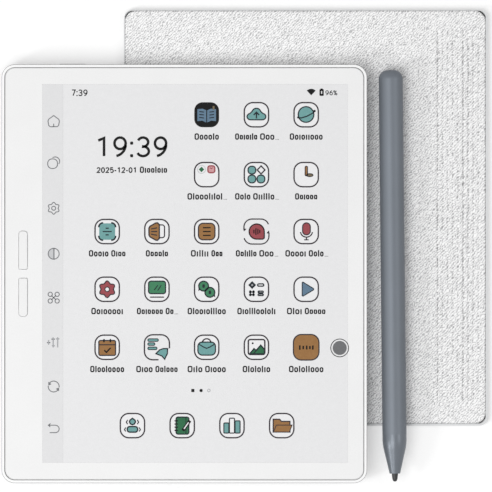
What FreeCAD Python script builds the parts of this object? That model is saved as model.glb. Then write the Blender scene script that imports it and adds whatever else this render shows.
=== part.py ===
import FreeCAD, Part
import math
import os
import re
import Sketcher

# A paper-display pocket assistant, its clip-on rear grip cover and its stylus, laid out on a table:
# the cover lies leather side up, the tablet lies across it and the stylus lies beside the tablet.
# +X is to the right, +Y towards the tablet's top edge and +Z up from the table.
# The origin is on the table, at the middle of the whole layout.
# All sizes are in millimetres.

doc = FreeCAD.newDocument("pocket_assistant")

driving = {
    # tablet, outside
    "tablet_depth": 7.6,
    "tablet_corner": 5.0,
    "rim_wall": 1.2,
    "rim_stand": 0.15,
    "rim_round": 0.3,
    "panel_seam": 0.2,
    "back_wall": 1.0,
    "back_round": 0.9,
    "lip_height": 1.9,
    "lip_wall": 0.8,
    "lip_gap": 0.1,
    # display window, and the front panel left round it
    "display_width": 107.0,
    "display_length": 142.2,
    "strip_width": 7.7,
    "left_bezel": 15.4,
    "right_bezel": 7.3,
    "top_bezel": 7.5,
    "bottom_bezel": 7.7,
    "window_gap": 0.02,
    # front stack, from the front inwards
    "panel_thick": 0.6,
    "gasket_thick": 0.1,
    "guide_thick": 0.5,
    "touch_thick": 0.2,
    "paper_thick": 0.7,
    "paper_gap": 0.05,
    "digitizer_thick": 0.3,
    "guide_margin": 1.2,
    "paper_margin": 1.5,
    "ribbon_room": 7.0,
    # frame rail, lugs and chassis plate
    "rail_width": 2.4,
    "rail_depth": 0.8,
    "lug_length": 5.0,
    "lug_width": 6.0,
    "lug_hole": 0.85,
    "lug_first": 24.0,
    "lug_end": 12.7,
    "chassis_thick": 0.5,
    "chassis_gap": 0.15,
    "screw_hole": 0.75,
    "screw_shank": 0.7,
    "screw_head": 1.3,
    "head_height": 0.6,
    "screw_end": 0.05,
    # boards
    "board_thick": 0.8,
    "spacer_height": 1.2,
    "spacer_radius": 1.8,
    "board_hole": 0.8,
    "board_width": 114.0,
    "board_length": 31.0,
    "board_edge": 3.2,
    "board_hole_inset": 3.5,
    "can_width": 27.0,
    "can_length": 19.0,
    "can_pitch": 30.0,
    "can_gap": 0.4,
    # battery
    "battery_width": 66.0,
    "battery_below": 8.7,
    "battery_above": 11.5,
    "battery_swell": 0.9,
    "tape_thick": 0.1,
    "lead_width": 6.0,
    "lead_thick": 0.6,
    # ribbons and their connectors
    "connector_length": 3.0,
    "ribbon_thick": 0.15,
    "display_ribbon_width": 20.0,
    "port_ribbon_width": 8.0,
    "port_ribbon_across": 44.0,
    # charging port, microphone and speakers
    "port_width": 8.94,
    "port_height": 3.16,
    "port_length": 7.35,
    "port_wall": 0.3,
    "port_round": 1.5,
    "port_inset": 0.2,
    "port_gap": 0.17,
    "tongue_width": 6.69,
    "tongue_thick": 0.7,
    "tongue_setback": 1.0,
    "port_board_width": 34.0,
    "port_board_length": 15.0,
    "port_board_back": 4.0,
    "sound_hole": 0.35,
    "sound_pitch": 1.8,
    "speaker_width": 18.0,
    "speaker_length": 9.0,
    "speaker_depth": 2.4,
    "speaker_across": 43.0,
    "microphone_across": 11.0,
    # page buttons
    "key_width": 3.2,
    "key_length": 14.35,
    "key_inset": 8.1,
    "key_first": 1.7,
    "key_end_round": 1.3,
    "key_near_round": 0.5,
    "key_stand": 0.3,
    "key_round": 0.2,
    "key_gap": 0.15,
    "key_flange": 0.5,
    "key_seat_gap": 0.05,
    "key_travel": 0.35,
    "key_stem": 1.3,
    "key_board_thick": 0.4,
    "switch_height": 0.45,
    "switch_width": 4.6,
    "dome_thick": 0.1,
    # power button
    "power_width": 10.0,
    "power_height": 2.2,
    "power_across": 42.0,
    "power_stand": 0.3,
    "power_round": 0.2,
    "power_gap": 0.12,
    "power_flange": 0.6,
    "power_travel": 0.3,
    # card tray
    "tray_across": 30.0,
    "tray_face_width": 13.9,
    "tray_face_height": 1.9,
    "tray_gap": 0.12,
    "tray_width": 12.4,
    "tray_thick": 0.7,
    "tray_length": 20.0,
    "card_width": 11.1,
    "card_length": 15.2,
    "reader_wall": 0.15,
    # magnets
    "magnet_width": 12.0,
    "magnet_length": 4.0,
    "magnet_depth": 1.0,
    "magnet_gap": 0.05,
    "magnet_inset": 13.0,
    "pen_magnet_length": 20.0,
    # rear grip cover
    "cover_side_inset": 0.2,
    "cover_end_inset": 0.4,
    "cover_corner": 3.4,
    "cover_depth": 2.4,
    "cover_rim": 0.6,
    "lining_thick": 0.4,
    "lining_inset": 0.6,
    "skin_thick": 0.9,
    "skin_gap": 0.06,
    "skin_left": 0.3,
    "skin_up": 0.2,
    "groove_first": 3.7,
    "groove_pitch": 1.92,
    "groove_count": 9,
    "groove_width": 0.5,
    "groove_depth": 0.35,
    "groove_top": 7.6,
    "groove_bottom": 9.7,
    # stylus
    "pen_length": 154.8,
    "pen_radius": 4.55,
    "pen_wall": 0.8,
    "cone_length": 14.7,
    "cone_tip": 2.0,
    "cone_bend": 11.1,
    "cone_round": 18.0,
    "nib_show": 3.05,
    "nib_radius": 1.2,
    "nib_point": 0.4,
    "nib_shoulder": 0.95,
    "nib_crown": 0.25,
    "nib_nose": 0.9,
    "nib_gap": 0.05,
    "nib_guide": 5.4,
    "nib_travel": 0.3,
    "nib_shank": 0.8,
    "cap_length": 4.0,
    "cap_round": 3.4,
    "spigot_length": 6.0,
    "spigot_gap": 0.05,
    "chamber_radius": 2.25,
    "core_radius": 1.75,
    "core_length": 12.5,
    "core_gap": 0.1,
    "coil_gap": 0.05,
    "coil_setback": 1.5,
    "sensor_length": 2.1,
    "sensor_gap": 0.05,
    "carrier_gap": 0.1,
    "pen_board_width": 5.6,
    "pen_board_length": 58.0,
    "pen_magnet_depth": 1.2,
    # how the three things lie
    "lay_across": 45.8,
    "lay_along": 21.1,
    "rest_gap": 0.1,
    "pen_beside": 10.5,
    "pen_above": 0.5,
    "pen_turn": 0.6,
}

sheet = doc.addObject("Spreadsheet::Sheet", "sizes")
for row, (name, value) in enumerate(driving.items(), start=1):
    sheet.set("A%d" % row, name)
    sheet.set("B%d" % row, str(value))
    sheet.setAlias("B%d" % row, name)
doc.recompute()

# Levels inside the tablet, measured from its back face
PANEL_TOP = "(tablet_depth - rim_stand)"
PANEL = "(%s - panel_thick)" % PANEL_TOP
RAIL_TOP = "(%s - gasket_thick)" % PANEL
GUIDE = "(%s - guide_thick)" % RAIL_TOP
TOUCH = "(%s - touch_thick)" % GUIDE
PAPER = "(%s - paper_thick)" % TOUCH
DIGITIZER = "(%s - paper_gap - digitizer_thick)" % PAPER
CHASSIS = "(%s - chassis_thick)" % DIGITIZER
LUG = "(%s - rail_depth)" % CHASSIS
BOARD_TOP = "(%s - spacer_height)" % CHASSIS
BOARD = "(%s - board_thick)" % BOARD_TOP
CONNECTOR = "(spacer_height - ribbon_thick)"
PORT_MID = "(%s + board_thick / 2)" % BOARD
TRAY_MID = "(%s + reader_wall + tray_thick / 2 + tray_gap / 2)" % BOARD_TOP
POWER_MID = "(back_wall + lip_gap + power_height / 2 + power_gap)"

# Edges and centres inside the tablet, measured from its middle
TABLET_WIDTH = "(left_bezel + strip_width + display_width + right_bezel)"
TABLET_LENGTH = "(bottom_bezel + display_length + top_bezel)"
HALF_WIDTH = "(%s / 2)" % TABLET_WIDTH
HALF_LENGTH = "(%s / 2)" % TABLET_LENGTH
WINDOW_RIGHT = "(%s - right_bezel)" % HALF_WIDTH
DISPLAY_X = "(%s - display_width / 2)" % WINDOW_RIGHT
STRIP_X = "(%s - display_width - strip_width / 2)" % WINDOW_RIGHT
WINDOW_X = "(%s - (display_width + strip_width) / 2)" % WINDOW_RIGHT
WINDOW_Y = "(%s - top_bezel - display_length / 2)" % HALF_LENGTH
RAIL_INSET = "(rim_wall + rail_width)"
LUG_X = "(%s - %s - lug_length / 2)" % (HALF_WIDTH, RAIL_INSET)
BOARD_Y = "(%s - board_edge - board_length / 2)" % HALF_LENGTH
BOARD_BOTTOM = "(%s - board_edge - board_length)" % HALF_LENGTH
PORT_BOARD_Y = "(port_board_back + port_board_length / 2 - %s)" % HALF_LENGTH
BATTERY_HIGH = "(%s - battery_above)" % BOARD_BOTTOM
BATTERY_LOW = "(%s + port_board_length / 2 + battery_below)" % PORT_BOARD_Y
BATTERY_LENGTH = "(%s - %s)" % (BATTERY_HIGH, BATTERY_LOW)
BATTERY_Y = "((%s + %s) / 2)" % (BATTERY_HIGH, BATTERY_LOW)
KEY_X = "(key_inset - %s)" % HALF_WIDTH
KEY_MIDDLE = "(key_first + key_length / 2)"
SCREW_TOP = "(%s - screw_end)" % DIGITIZER
COVER_WIDTH = "(%s - 2 * cover_side_inset)" % TABLET_WIDTH
COVER_LENGTH = "(%s - 2 * cover_end_inset)" % TABLET_LENGTH

pieces = []


def bound(text):
    """Write an expression on the sheet's cells from plain size names."""
    return re.sub(r"[a-z]\w*", lambda found: "sizes." + found.group(0), str(text))


def new_body(name, group):
    """One sub-part: a body of its own, set down with the tablet, the cover or the pen."""
    body = doc.addObject("PartDesign::Body", name)
    body.Label = name
    body.AllowCompound = True
    for axis, place in places[group].items():
        body.setExpression("Placement.Base." + axis, bound(place))
    pieces.append(body)
    return body


def new_sketch(body, plane, offset):
    """A sketch on one of the body's own origin planes, moved along that plane's normal."""
    sketch = body.newObject("Sketcher::SketchObject", body.Name + "_sketch")
    support = next(face for face in body.Origin.OriginFeatures if face.Role == plane + "_Plane")
    sketch.AttachmentSupport = (support, [""])
    sketch.MapMode = "FlatFace"
    sketch.setExpression("AttachmentOffset.Base.z", bound(offset))
    return sketch


def dimension(sketch, constraint, text):
    index = sketch.addConstraint(constraint)
    sketch.setExpression("Constraints[%d]" % index, bound(text))


def value_of(text):
    """The present value of an expression, for a sketch's first guess."""
    number = re.sub(r"[a-z]\w*", lambda found: repr(sheet.get(found.group(0))), str(text))
    return FreeCAD.Units.Quantity(number).Value


def locate(sketch, element, point, across, along):
    """Fix a point of an element at a place counted from the sketch's origin."""
    for kind, place in (("DistanceX", across), ("DistanceY", along)):
        if str(place) == "0":
            axis = -2 if kind == "DistanceX" else -1
            sketch.addConstraint(Sketcher.Constraint("PointOnObject", element, point, axis))
        else:
            guess = value_of(place)
            dimension(sketch, Sketcher.Constraint(kind, -1, 1, element, point, guess), place)


def add_disc(sketch, radius, across="0", along="0"):
    centre = FreeCAD.Vector(value_of(across), value_of(along), 0)
    circle = Part.Circle(centre, FreeCAD.Vector(0, 0, 1), value_of(radius))
    index = sketch.addGeometry(circle, False)
    dimension(sketch, Sketcher.Constraint("Radius", index, value_of(radius)), radius)
    locate(sketch, index, 3, across, along)


def add_polygon(sketch, corners):
    """A closed outline of straight edges, each corner placed by a pair of expressions."""
    points = [FreeCAD.Vector(value_of(across), value_of(along), 0) for across, along in corners]
    first = sketch.GeometryCount
    count = len(points)
    for index in range(count):
        sketch.addGeometry(Part.LineSegment(points[index], points[(index + 1) % count]), False)
    for index in range(count):
        after = first + (index + 1) % count
        sketch.addConstraint(Sketcher.Constraint("Coincident", first + index, 2, after, 1))
        locate(sketch, first + index, 1, *corners[index])


def add_plate(sketch, width, length, across="0", along="0"):
    """A square-cornered rectangle about its middle."""
    left = "%s - (%s) / 2" % (across, width)
    right = "%s + (%s) / 2" % (across, width)
    low = "%s - (%s) / 2" % (along, length)
    high = "%s + (%s) / 2" % (along, length)
    add_polygon(sketch, [(left, low), (right, low), (right, high), (left, high)])


def add_rounded(sketch, width, length, corner, across="0", along="0", far_corner=None):
    """A rectangle with round corners; far_corner rounds the two corners at the high end."""
    wide, tall = value_of(width) / 2, value_of(length) / 2
    x_mid, y_mid = value_of(across), value_of(along)
    far_corner = far_corner or corner
    radii = [value_of(corner), value_of(corner), value_of(far_corner), value_of(far_corner)]
    signs = [(-1, -1), (1, -1), (1, 1), (-1, 1)]
    first = sketch.GeometryCount
    for index, ((side, end), radius) in enumerate(zip(signs, radii)):
        centre = FreeCAD.Vector(x_mid + side * (wide - radius), y_mid + end * (tall - radius), 0)
        start = math.pi + index * math.pi / 2
        circle = Part.Circle(centre, FreeCAD.Vector(0, 0, 1), radius)
        sketch.addGeometry(Part.ArcOfCircle(circle, start, start + math.pi / 2), False)
    for index in range(4):
        after = (index + 1) % 4
        line = Part.LineSegment(sketch.getPoint(first + index, 2), sketch.getPoint(first + after, 1))
        sketch.addGeometry(line, False)
    for index in range(4):
        after = first + (index + 1) % 4
        line = first + 4 + index
        sketch.addConstraint(Sketcher.Constraint("Tangent", first + index, 2, line, 1))
        sketch.addConstraint(Sketcher.Constraint("Tangent", line, 2, after, 1))
        flat = "Horizontal" if index % 2 == 0 else "Vertical"
        sketch.addConstraint(Sketcher.Constraint(flat, line))
    bottom, right, top, left = (first + 4 + index for index in range(4))
    sketch.addConstraint(Sketcher.Constraint("Equal", first, first + 1))
    sketch.addConstraint(Sketcher.Constraint("Equal", first + 2, first + 3))
    dimension(sketch, Sketcher.Constraint("Radius", first, radii[0]), corner)
    dimension(sketch, Sketcher.Constraint("Radius", first + 2, radii[2]), far_corner)
    dimension(sketch, Sketcher.Constraint("DistanceX", left, 1, right, 1, 2 * wide), width)
    dimension(sketch, Sketcher.Constraint("DistanceY", bottom, 1, top, 1, 2 * tall), length)
    edge_x = "%s - (%s) / 2" % (across, width)
    edge_y = "%s - (%s) / 2" % (along, length)
    dimension(sketch, Sketcher.Constraint("DistanceX", -1, 1, left, 1, x_mid - wide), edge_x)
    dimension(sketch, Sketcher.Constraint("DistanceY", -1, 1, bottom, 1, y_mid - tall), edge_y)


def pad(body, sketch, height):
    """Raise the sketch along its plane's normal."""
    feature = body.newObject("PartDesign::Pad", body.Name + "_pad")
    feature.Profile = sketch
    feature.setExpression("Length", bound(height))
    doc.recompute()
    return feature


def pocket(body, sketch, depth, with_normal=True):
    """Cut the sketch along its plane's normal or against it, and make sure that material went."""
    before = body.Shape.Volume
    feature = body.newObject("PartDesign::Pocket", body.Name + "_pocket")
    feature.Profile = sketch
    feature.Reversed = with_normal
    feature.setExpression("Length", bound(depth))
    doc.recompute()
    if body.Shape.Volume > before - 1e-6:
        raise RuntimeError("a pocket in %s cut nothing" % body.Label)
    return feature


def revolve(body, sketch):
    """Turn the sketch once about its own upright axis."""
    feature = body.newObject("PartDesign::Revolution", body.Name + "_revolution")
    feature.Profile = sketch
    feature.ReferenceAxis = (sketch, ["V_Axis"])
    feature.Angle = 360
    doc.recompute()
    return feature


def round_edges(body, radius, chosen):
    """Fillet every edge of the body for which chosen(edge) holds."""
    base = body.Tip
    names = ["Edge%d" % (number + 1) for number, edge in enumerate(base.Shape.Edges) if chosen(edge)]
    if not names:
        raise RuntimeError("no edge to round on %s" % body.Label)
    feature = body.newObject("PartDesign::Fillet", body.Name + "_fillet")
    feature.Base = (base, names)
    feature.setExpression("Radius", bound(radius))
    doc.recompute()
    return feature


def flat_at(axis, height):
    """Picks edges that lie wholly at one height along an axis."""
    def chosen(edge):
        box = edge.BoundBox
        low, high = getattr(box, axis + "Min"), getattr(box, axis + "Max")
        return abs(low - height) < 1e-4 and abs(high - height) < 1e-4
    return chosen


def slab(name, group, base, height, *outlines):
    """A flat piece: one sketch of outlines on the table's plane, raised once."""
    body = new_body(name, group)
    sketch = new_sketch(body, "XY", base)
    for draw, *sizes in outlines:
        draw(sketch, *sizes)
    pad(body, sketch, height)
    return body


def layer(body, action, base, height, *outlines):
    """One more pad or pocket on a body, from the level base upwards."""
    sketch = new_sketch(body, "XY", base)
    for draw, *sizes in outlines:
        draw(sketch, *sizes)
    return action(body, sketch, height)


def wall_cut(body, from_y, depth, *outlines):
    """Cut outlines seen along Y, from the level from_y towards +Y."""
    sketch = new_sketch(body, "XZ", "-(%s)" % from_y)
    for draw, *sizes in outlines:
        draw(sketch, *sizes)
    return pocket(body, sketch, depth, with_normal=False)


def inset(size, amount):
    return "(%s - 2 * (%s))" % (size, amount)


def tablet_edge(amount):
    """The tablet's outline, drawn in by an amount all round."""
    return (add_rounded, inset(TABLET_WIDTH, amount), inset(TABLET_LENGTH, amount),
            "(tablet_corner - %s)" % amount)


def cover_edge(amount, across="0", along="0"):
    """The rear grip cover's outline, drawn in by an amount all round."""
    return (add_rounded, inset(COVER_WIDTH, amount), inset(COVER_LENGTH, amount),
            "(cover_corner - %s)" % amount, across, along)


places = {
    "tablet": {
        "x": "(cover_side_inset - lay_across) / 2",
        "y": "(cover_end_inset - lay_along) / 2",
        "z": "cover_depth + rest_gap",
    },
    "cover": {
        "x": "(cover_side_inset + lay_across) / 2",
        "y": "(cover_end_inset + lay_along) / 2",
        "z": "0",
    },
}
places["pen"] = {
    "x": "%s + %s + pen_beside" % (places["tablet"]["x"], HALF_WIDTH),
    "y": "%s - %s + pen_above" % (places["tablet"]["y"], HALF_LENGTH),
    "z": "cover_depth + rest_gap + pen_radius",
}

sides = ("-", "")

# ---- Tablet: the case ----

lug_places = []
for side in sides:
    for end in sides:
        for along in ("lug_first", "(%s - lug_end)" % HALF_LENGTH):
            lug_places.append((side + LUG_X, end + along))

lip_outside = "(rim_wall + lip_gap)"
lip_inside = "(rim_wall + lip_gap + lip_wall)"
notch_reach = "(2 * (%s + lip_gap))" % lip_inside
lip_notches = [
    (add_plate, "(port_width + 4 * port_gap)", notch_reach, "0", "-%s" % HALF_LENGTH),
    (add_plate, "(tray_face_width + 4 * tray_gap)", notch_reach, "tray_across", HALF_LENGTH),
    (add_plate, "(power_width + 2 * rim_wall + 4 * power_gap)", notch_reach, "-power_across", HALF_LENGTH),
]

rear_cover = slab("rear_cover", "tablet", "0", "back_wall",
                  tablet_edge("0"))
round_edges(rear_cover, "back_round", flat_at("Z", 0))
layer(rear_cover, pad, "back_wall", "lip_height",
      tablet_edge(lip_outside),
      tablet_edge(lip_inside))
layer(rear_cover, pocket, "back_wall", "lip_height", *lip_notches)

mid_frame = slab("mid_frame", "tablet", "back_wall", "(tablet_depth - back_wall)",
                 tablet_edge("0"),
                 tablet_edge("rim_wall"))
layer(mid_frame, pad, LUG, "(%s - %s)" % (RAIL_TOP, LUG),
      tablet_edge("rim_wall / 2"),
      tablet_edge(RAIL_INSET))
lug_reach = "(lug_length + rail_width / 2)"
lug_middle = "(%s - rim_wall - rail_width / 2 - %s / 2)" % (HALF_WIDTH, lug_reach)
layer(mid_frame, pad, LUG, "rail_depth",
      *[(add_plate, lug_reach, "lug_width", side + lug_middle, y)
        for side in sides for x, y in lug_places[:len(lug_places) // 2]])
layer(mid_frame, pocket, LUG, "rail_depth", *[(add_disc, "lug_hole", x, y) for x, y in lug_places])
sound_holes = []
for side in sides:
    for step in range(6):
        along = "%s(speaker_across + (%d - 2.5) * sound_pitch)" % (side, step)
        sound_holes.append((add_disc, "sound_hole", along, "(%s - sound_hole - lip_gap / 2)" % LUG))
sound_holes.append((add_disc, "sound_hole", "microphone_across", "(%s - sound_hole - lip_gap / 2)" % LUG))
wall_cut(mid_frame, "-(%s)" % HALF_LENGTH, "rim_wall", *sound_holes)
wall_cut(mid_frame, "-(%s)" % HALF_LENGTH, RAIL_INSET,
         (add_rounded, "(port_width + 2 * port_gap)", "(port_height + 2 * port_gap)",
          "(port_round + port_gap)", "0", PORT_MID))
wall_cut(mid_frame, "(%s - %s)" % (HALF_LENGTH, RAIL_INSET), RAIL_INSET,
         (add_rounded, "(tray_face_width + 2 * tray_gap)", "(tray_face_height + 2 * tray_gap)",
          "(tray_face_height / 2)", "tray_across", TRAY_MID))
wall_cut(mid_frame, "(%s - rim_wall)" % HALF_LENGTH, "rim_wall",
         (add_rounded, "(power_width + 2 * power_gap)", "(power_height + 2 * power_gap)",
          "(power_height / 2)", "-power_across", POWER_MID))
round_edges(mid_frame, "rim_round", flat_at("Z", value_of("tablet_depth")))

# ---- Tablet: front panel and display stack ----

panel_inset = "(rim_wall + panel_seam)"
key_holes = []
for side, radii in (("", ("key_near_round", "key_end_round")), ("-", ("key_end_round", "key_near_round"))):
    near, far = ("(%s + key_gap)" % radius for radius in radii)
    key_holes.append((add_rounded, "(key_width + 2 * key_gap)", "(key_length + 2 * key_gap)", near,
                      KEY_X, "%s%s" % (side, KEY_MIDDLE), far))
slab("front_panel", "tablet", PANEL, "panel_thick",
     tablet_edge(panel_inset),
     (add_plate, "(display_width + strip_width + 2 * window_gap)", "(display_length + 2 * window_gap)",
      WINDOW_X, WINDOW_Y),
     *key_holes)
slab("screen_lens", "tablet", PANEL, "panel_thick",
     (add_plate, "display_width", "display_length", DISPLAY_X, WINDOW_Y))
slab("shortcut_strip", "tablet", PANEL, "panel_thick",
     (add_plate, "(strip_width - window_gap)", "display_length", "(%s - window_gap / 2)" % STRIP_X, WINDOW_Y))
slab("lens_adhesive", "tablet", RAIL_TOP, "gasket_thick",
     (add_plate, "(display_width + strip_width)", "display_length", WINDOW_X, WINDOW_Y))
slab("front_gasket", "tablet", RAIL_TOP, "gasket_thick",
     tablet_edge(panel_inset),
     tablet_edge(RAIL_INSET))
guide_outline = ("(display_width + strip_width + 2 * guide_margin)", "(display_length + 2 * guide_margin)",
                 WINDOW_X, WINDOW_Y)
slab("front_light_guide", "tablet", GUIDE, "guide_thick", (add_plate, *guide_outline))
slab("touch_sensor", "tablet", TOUCH, "touch_thick", (add_plate, *guide_outline))
guide_low = "(%s - display_length / 2 - guide_margin)" % WINDOW_Y
slab("front_light_strip", "tablet", GUIDE, "guide_thick",
     (add_plate, "(display_width - 2 * guide_margin)", "guide_margin", DISPLAY_X,
      "(%s - window_gap - guide_margin / 2)" % guide_low))
slab("epaper_module", "tablet", PAPER, "paper_thick",
     (add_plate, "(display_width + 2 * paper_margin)", "(display_length + 2 * paper_margin)",
      DISPLAY_X, WINDOW_Y))
digitizer_length = "(display_length - ribbon_room)"
slab("digitizer_board", "tablet", DIGITIZER, "(digitizer_thick + paper_gap)",
     (add_plate, "display_width", digitizer_length, DISPLAY_X, "(%s - ribbon_room / 2)" % WINDOW_Y))

# ---- Tablet: chassis, boards and their screws ----

board_screw_places = []
for side in sides:
    across = "%s(board_width / 2 - board_hole_inset)" % side
    for end in ("", "-"):
        along = "(%s + %s(board_length / 2 - board_hole_inset))" % (BOARD_Y, end)
        board_screw_places.append((across, along))
for side in sides:
    across = "%s(port_board_width / 2 - board_hole_inset)" % side
    board_screw_places.append((across, "(%s + port_board_length / 2 - board_hole_inset)" % PORT_BOARD_Y))

ribbon_y = "(%s + display_length / 2 - ribbon_room / 2)" % WINDOW_Y
chassis_inset = "(%s + chassis_gap)" % RAIL_INSET
chassis_plate = slab(
    "chassis_plate", "tablet", CHASSIS, "chassis_thick",
    tablet_edge(chassis_inset))
layer(chassis_plate, pocket, CHASSIS, "chassis_thick",
      *[(add_disc, "screw_hole", x, y) for x, y in lug_places + board_screw_places],
      (add_plate, "(display_ribbon_width + 2)", "(ribbon_thick * 8)", "0", ribbon_y),
      (add_plate, "(port_width + 4 * port_gap)", "(2 * (port_inset + port_length + port_gap))", "0",
       "-%s" % HALF_LENGTH))

chassis_screws = slab("chassis_screws", "tablet", "(%s - head_height)" % LUG, "head_height",
                      *[(add_disc, "screw_head", x, y) for x, y in lug_places])
layer(chassis_screws, pad, LUG, "(%s - %s)" % (SCREW_TOP, LUG),
      *[(add_disc, "screw_shank", x, y) for x, y in lug_places])

slab("main_board", "tablet", BOARD, "board_thick",
     (add_plate, "board_width", "board_length", "0", BOARD_Y),
     *[(add_disc, "board_hole", x, y) for x, y in board_screw_places[:4]])
port_bite = "(port_inset + port_length + port_gap - port_board_back)"
slab("port_board", "tablet", BOARD, "board_thick",
     (add_plate, "port_board_width", "(port_board_length - %s)" % port_bite,
      "0", "(%s + %s / 2)" % (PORT_BOARD_Y, port_bite)),
     *[(add_disc, "board_hole", x, y) for x, y in board_screw_places[4:]])
slab("board_spacers", "tablet", BOARD_TOP, "spacer_height",
     *[(add_disc, "spacer_radius", x, y) for x, y in board_screw_places],
     *[(add_disc, "screw_hole", x, y) for x, y in board_screw_places])
board_screws = slab("board_screws", "tablet", "(%s - head_height)" % BOARD, "head_height",
                    *[(add_disc, "screw_head", x, y) for x, y in board_screw_places])
layer(board_screws, pad, BOARD, "(%s - %s)" % (SCREW_TOP, BOARD),
      *[(add_disc, "screw_shank", x, y) for x, y in board_screw_places])
can_floor = "(back_wall + can_gap)"
slab("shield_cans", "tablet", can_floor, "(%s - %s)" % (BOARD, can_floor),
     *[(add_plate, "can_width", "can_length", "(%d * can_pitch)" % step, "(%s - board_edge)" % BOARD_Y)
       for step in (-1, 0, 1)])

# ---- Tablet: battery, ribbons and connectors ----

battery_floor = "(back_wall + battery_swell)"
battery_top = "(%s - tape_thick)" % CHASSIS
slab("battery", "tablet", battery_floor, "(%s - %s)" % (battery_top, battery_floor),
     (add_rounded, "battery_width", BATTERY_LENGTH, "lead_thick", "0", BATTERY_Y))
slab("battery_tape", "tablet", battery_top, "tape_thick",
     (add_plate, "(battery_width - 2 * lead_width)", inset(BATTERY_LENGTH, "lead_width"), "0", BATTERY_Y))
lead_high = "(%s + board_hole_inset)" % BOARD_BOTTOM
slab("battery_lead", "tablet", BOARD_TOP, "lead_thick",
     (add_plate, "lead_width", "(%s - %s)" % (lead_high, BATTERY_HIGH), "-battery_width / 4",
      "(%s + %s) / 2" % (lead_high, BATTERY_HIGH)))
port_connector_y = "(%s + port_board_length / 2 - connector_length)" % PORT_BOARD_Y
board_connector_y = "(%s + 2 * connector_length)" % BOARD_BOTTOM
slab("ribbon_connectors", "tablet", BOARD_TOP, CONNECTOR,
     (add_plate, "lead_width", "connector_length", "-battery_width / 4",
      "(%s + connector_length / 2)" % lead_high),
     (add_plate, "port_ribbon_width", "connector_length", "port_ribbon_across", board_connector_y),
     (add_plate, "(port_ribbon_width / 2)", "connector_length", "0", port_connector_y),
     (add_plate, "display_ribbon_width", "connector_length", "0",
      "(%s - ribbon_thick * 4 - connector_length)" % ribbon_y))
ribbon_base = "(%s + %s)" % (BOARD_TOP, CONNECTOR)
ribbon_bend_y = "(%s + connector_length)" % port_connector_y
slab("port_ribbon", "tablet", ribbon_base, "ribbon_thick",
     (add_polygon, [
         ("(port_ribbon_width / 4)", "(%s - connector_length / 2)" % port_connector_y),
         ("(port_ribbon_width / 4)", ribbon_bend_y),
         ("(port_ribbon_across + port_ribbon_width / 2)", ribbon_bend_y),
         ("(port_ribbon_across + port_ribbon_width / 2)", "(%s + connector_length / 2)" % board_connector_y),
         ("(port_ribbon_across - port_ribbon_width / 2)", "(%s + connector_length / 2)" % board_connector_y),
         ("(port_ribbon_across - port_ribbon_width / 2)", "(%s + port_ribbon_width / 2)" % ribbon_bend_y),
         ("(-port_ribbon_width / 4)", "(%s + port_ribbon_width / 2)" % ribbon_bend_y),
         ("(-port_ribbon_width / 4)", "(%s - connector_length / 2)" % port_connector_y),
     ]))
display_ribbon = new_body("display_ribbon", "tablet")
ribbon_sketch = new_sketch(display_ribbon, "YZ", "-display_ribbon_width / 2")
ribbon_low = "(%s + %s / 2)" % (BOARD_TOP, CONNECTOR)
ribbon_front = "(%s - ribbon_thick * 4 - connector_length / 2)" % ribbon_y
ribbon_far = "(%s + ribbon_room / 2)" % ribbon_y
add_polygon(ribbon_sketch, [
    (ribbon_front, ribbon_low),
    ("(%s + ribbon_thick)" % ribbon_y, ribbon_low),
    ("(%s + ribbon_thick)" % ribbon_y, "(%s - ribbon_thick)" % PAPER),
    (ribbon_far, "(%s - ribbon_thick)" % PAPER),
    (ribbon_far, PAPER),
    (ribbon_y, PAPER),
    (ribbon_y, "(%s + ribbon_thick)" % ribbon_low),
    (ribbon_front, "(%s + ribbon_thick)" % ribbon_low),
])
pad(display_ribbon, ribbon_sketch, "display_ribbon_width")

# ---- Tablet: charging port, microphone, speakers, antennas and magnets ----

port = new_body("usb_c_receptacle", "tablet")
port_mouth = "(%s - port_inset)" % HALF_LENGTH
shell = new_sketch(port, "XZ", "(%s - port_length)" % port_mouth)
add_rounded(shell, "port_width", "port_height", "port_round", "0", PORT_MID)
add_rounded(shell, inset("port_width", "port_wall"), inset("port_height", "port_wall"),
            "(port_round - port_wall)", "0", PORT_MID)
pad(port, shell, "port_length")
port_back = new_sketch(port, "XZ", "(%s - port_length)" % port_mouth)
add_rounded(port_back, "port_width", "port_height", "port_round", "0", PORT_MID)
pad(port, port_back, "tongue_setback")
tongue = new_sketch(port, "XZ", "(%s - port_length)" % port_mouth)
add_plate(tongue, "tongue_width", "tongue_thick", "0", PORT_MID)
pad(port, tongue, "(port_length - tongue_setback)")

slab("microphone", "tablet", "(%s - board_thick)" % BOARD, "board_thick",
     (add_plate, "(board_hole_inset)", "connector_length", "microphone_across", PORT_BOARD_Y))
speaker_y = "(speaker_length / 2 + %s + lip_gap - %s)" % (RAIL_INSET, HALF_LENGTH)
slab("speakers", "tablet", "(%s - speaker_depth)" % CHASSIS, "speaker_depth",
     *[(add_rounded, "speaker_width", "speaker_length", "connector_length / 2",
        "%sspeaker_across" % side, speaker_y) for side in sides])
slab("antennas", "tablet", "back_wall", "digitizer_thick",
     *[(add_plate, "speaker_width", "magnet_length", "%sspeaker_across" % side,
        "(%s - board_edge - magnet_length)" % HALF_LENGTH) for side in sides])
magnet_x = "(%s - magnet_inset)" % HALF_WIDTH
magnet_y = "(%s - 2 * magnet_inset)" % HALF_LENGTH
magnet_places = [(side + magnet_x, end + magnet_y) for side in sides for end in sides]
case_magnets = slab("case_magnets", "tablet", "back_wall", "magnet_depth",
                    *[(add_plate, "magnet_width", "magnet_length", x, y) for x, y in magnet_places])
layer(case_magnets, pad, "back_wall", "magnet_depth",
      (add_plate, "magnet_length / 2", "pen_magnet_length",
       "(%s - %s - lip_gap - magnet_length / 4)" % (HALF_WIDTH, lip_inside), "0"))

# ---- Tablet: page buttons, power button and card tray ----

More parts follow.
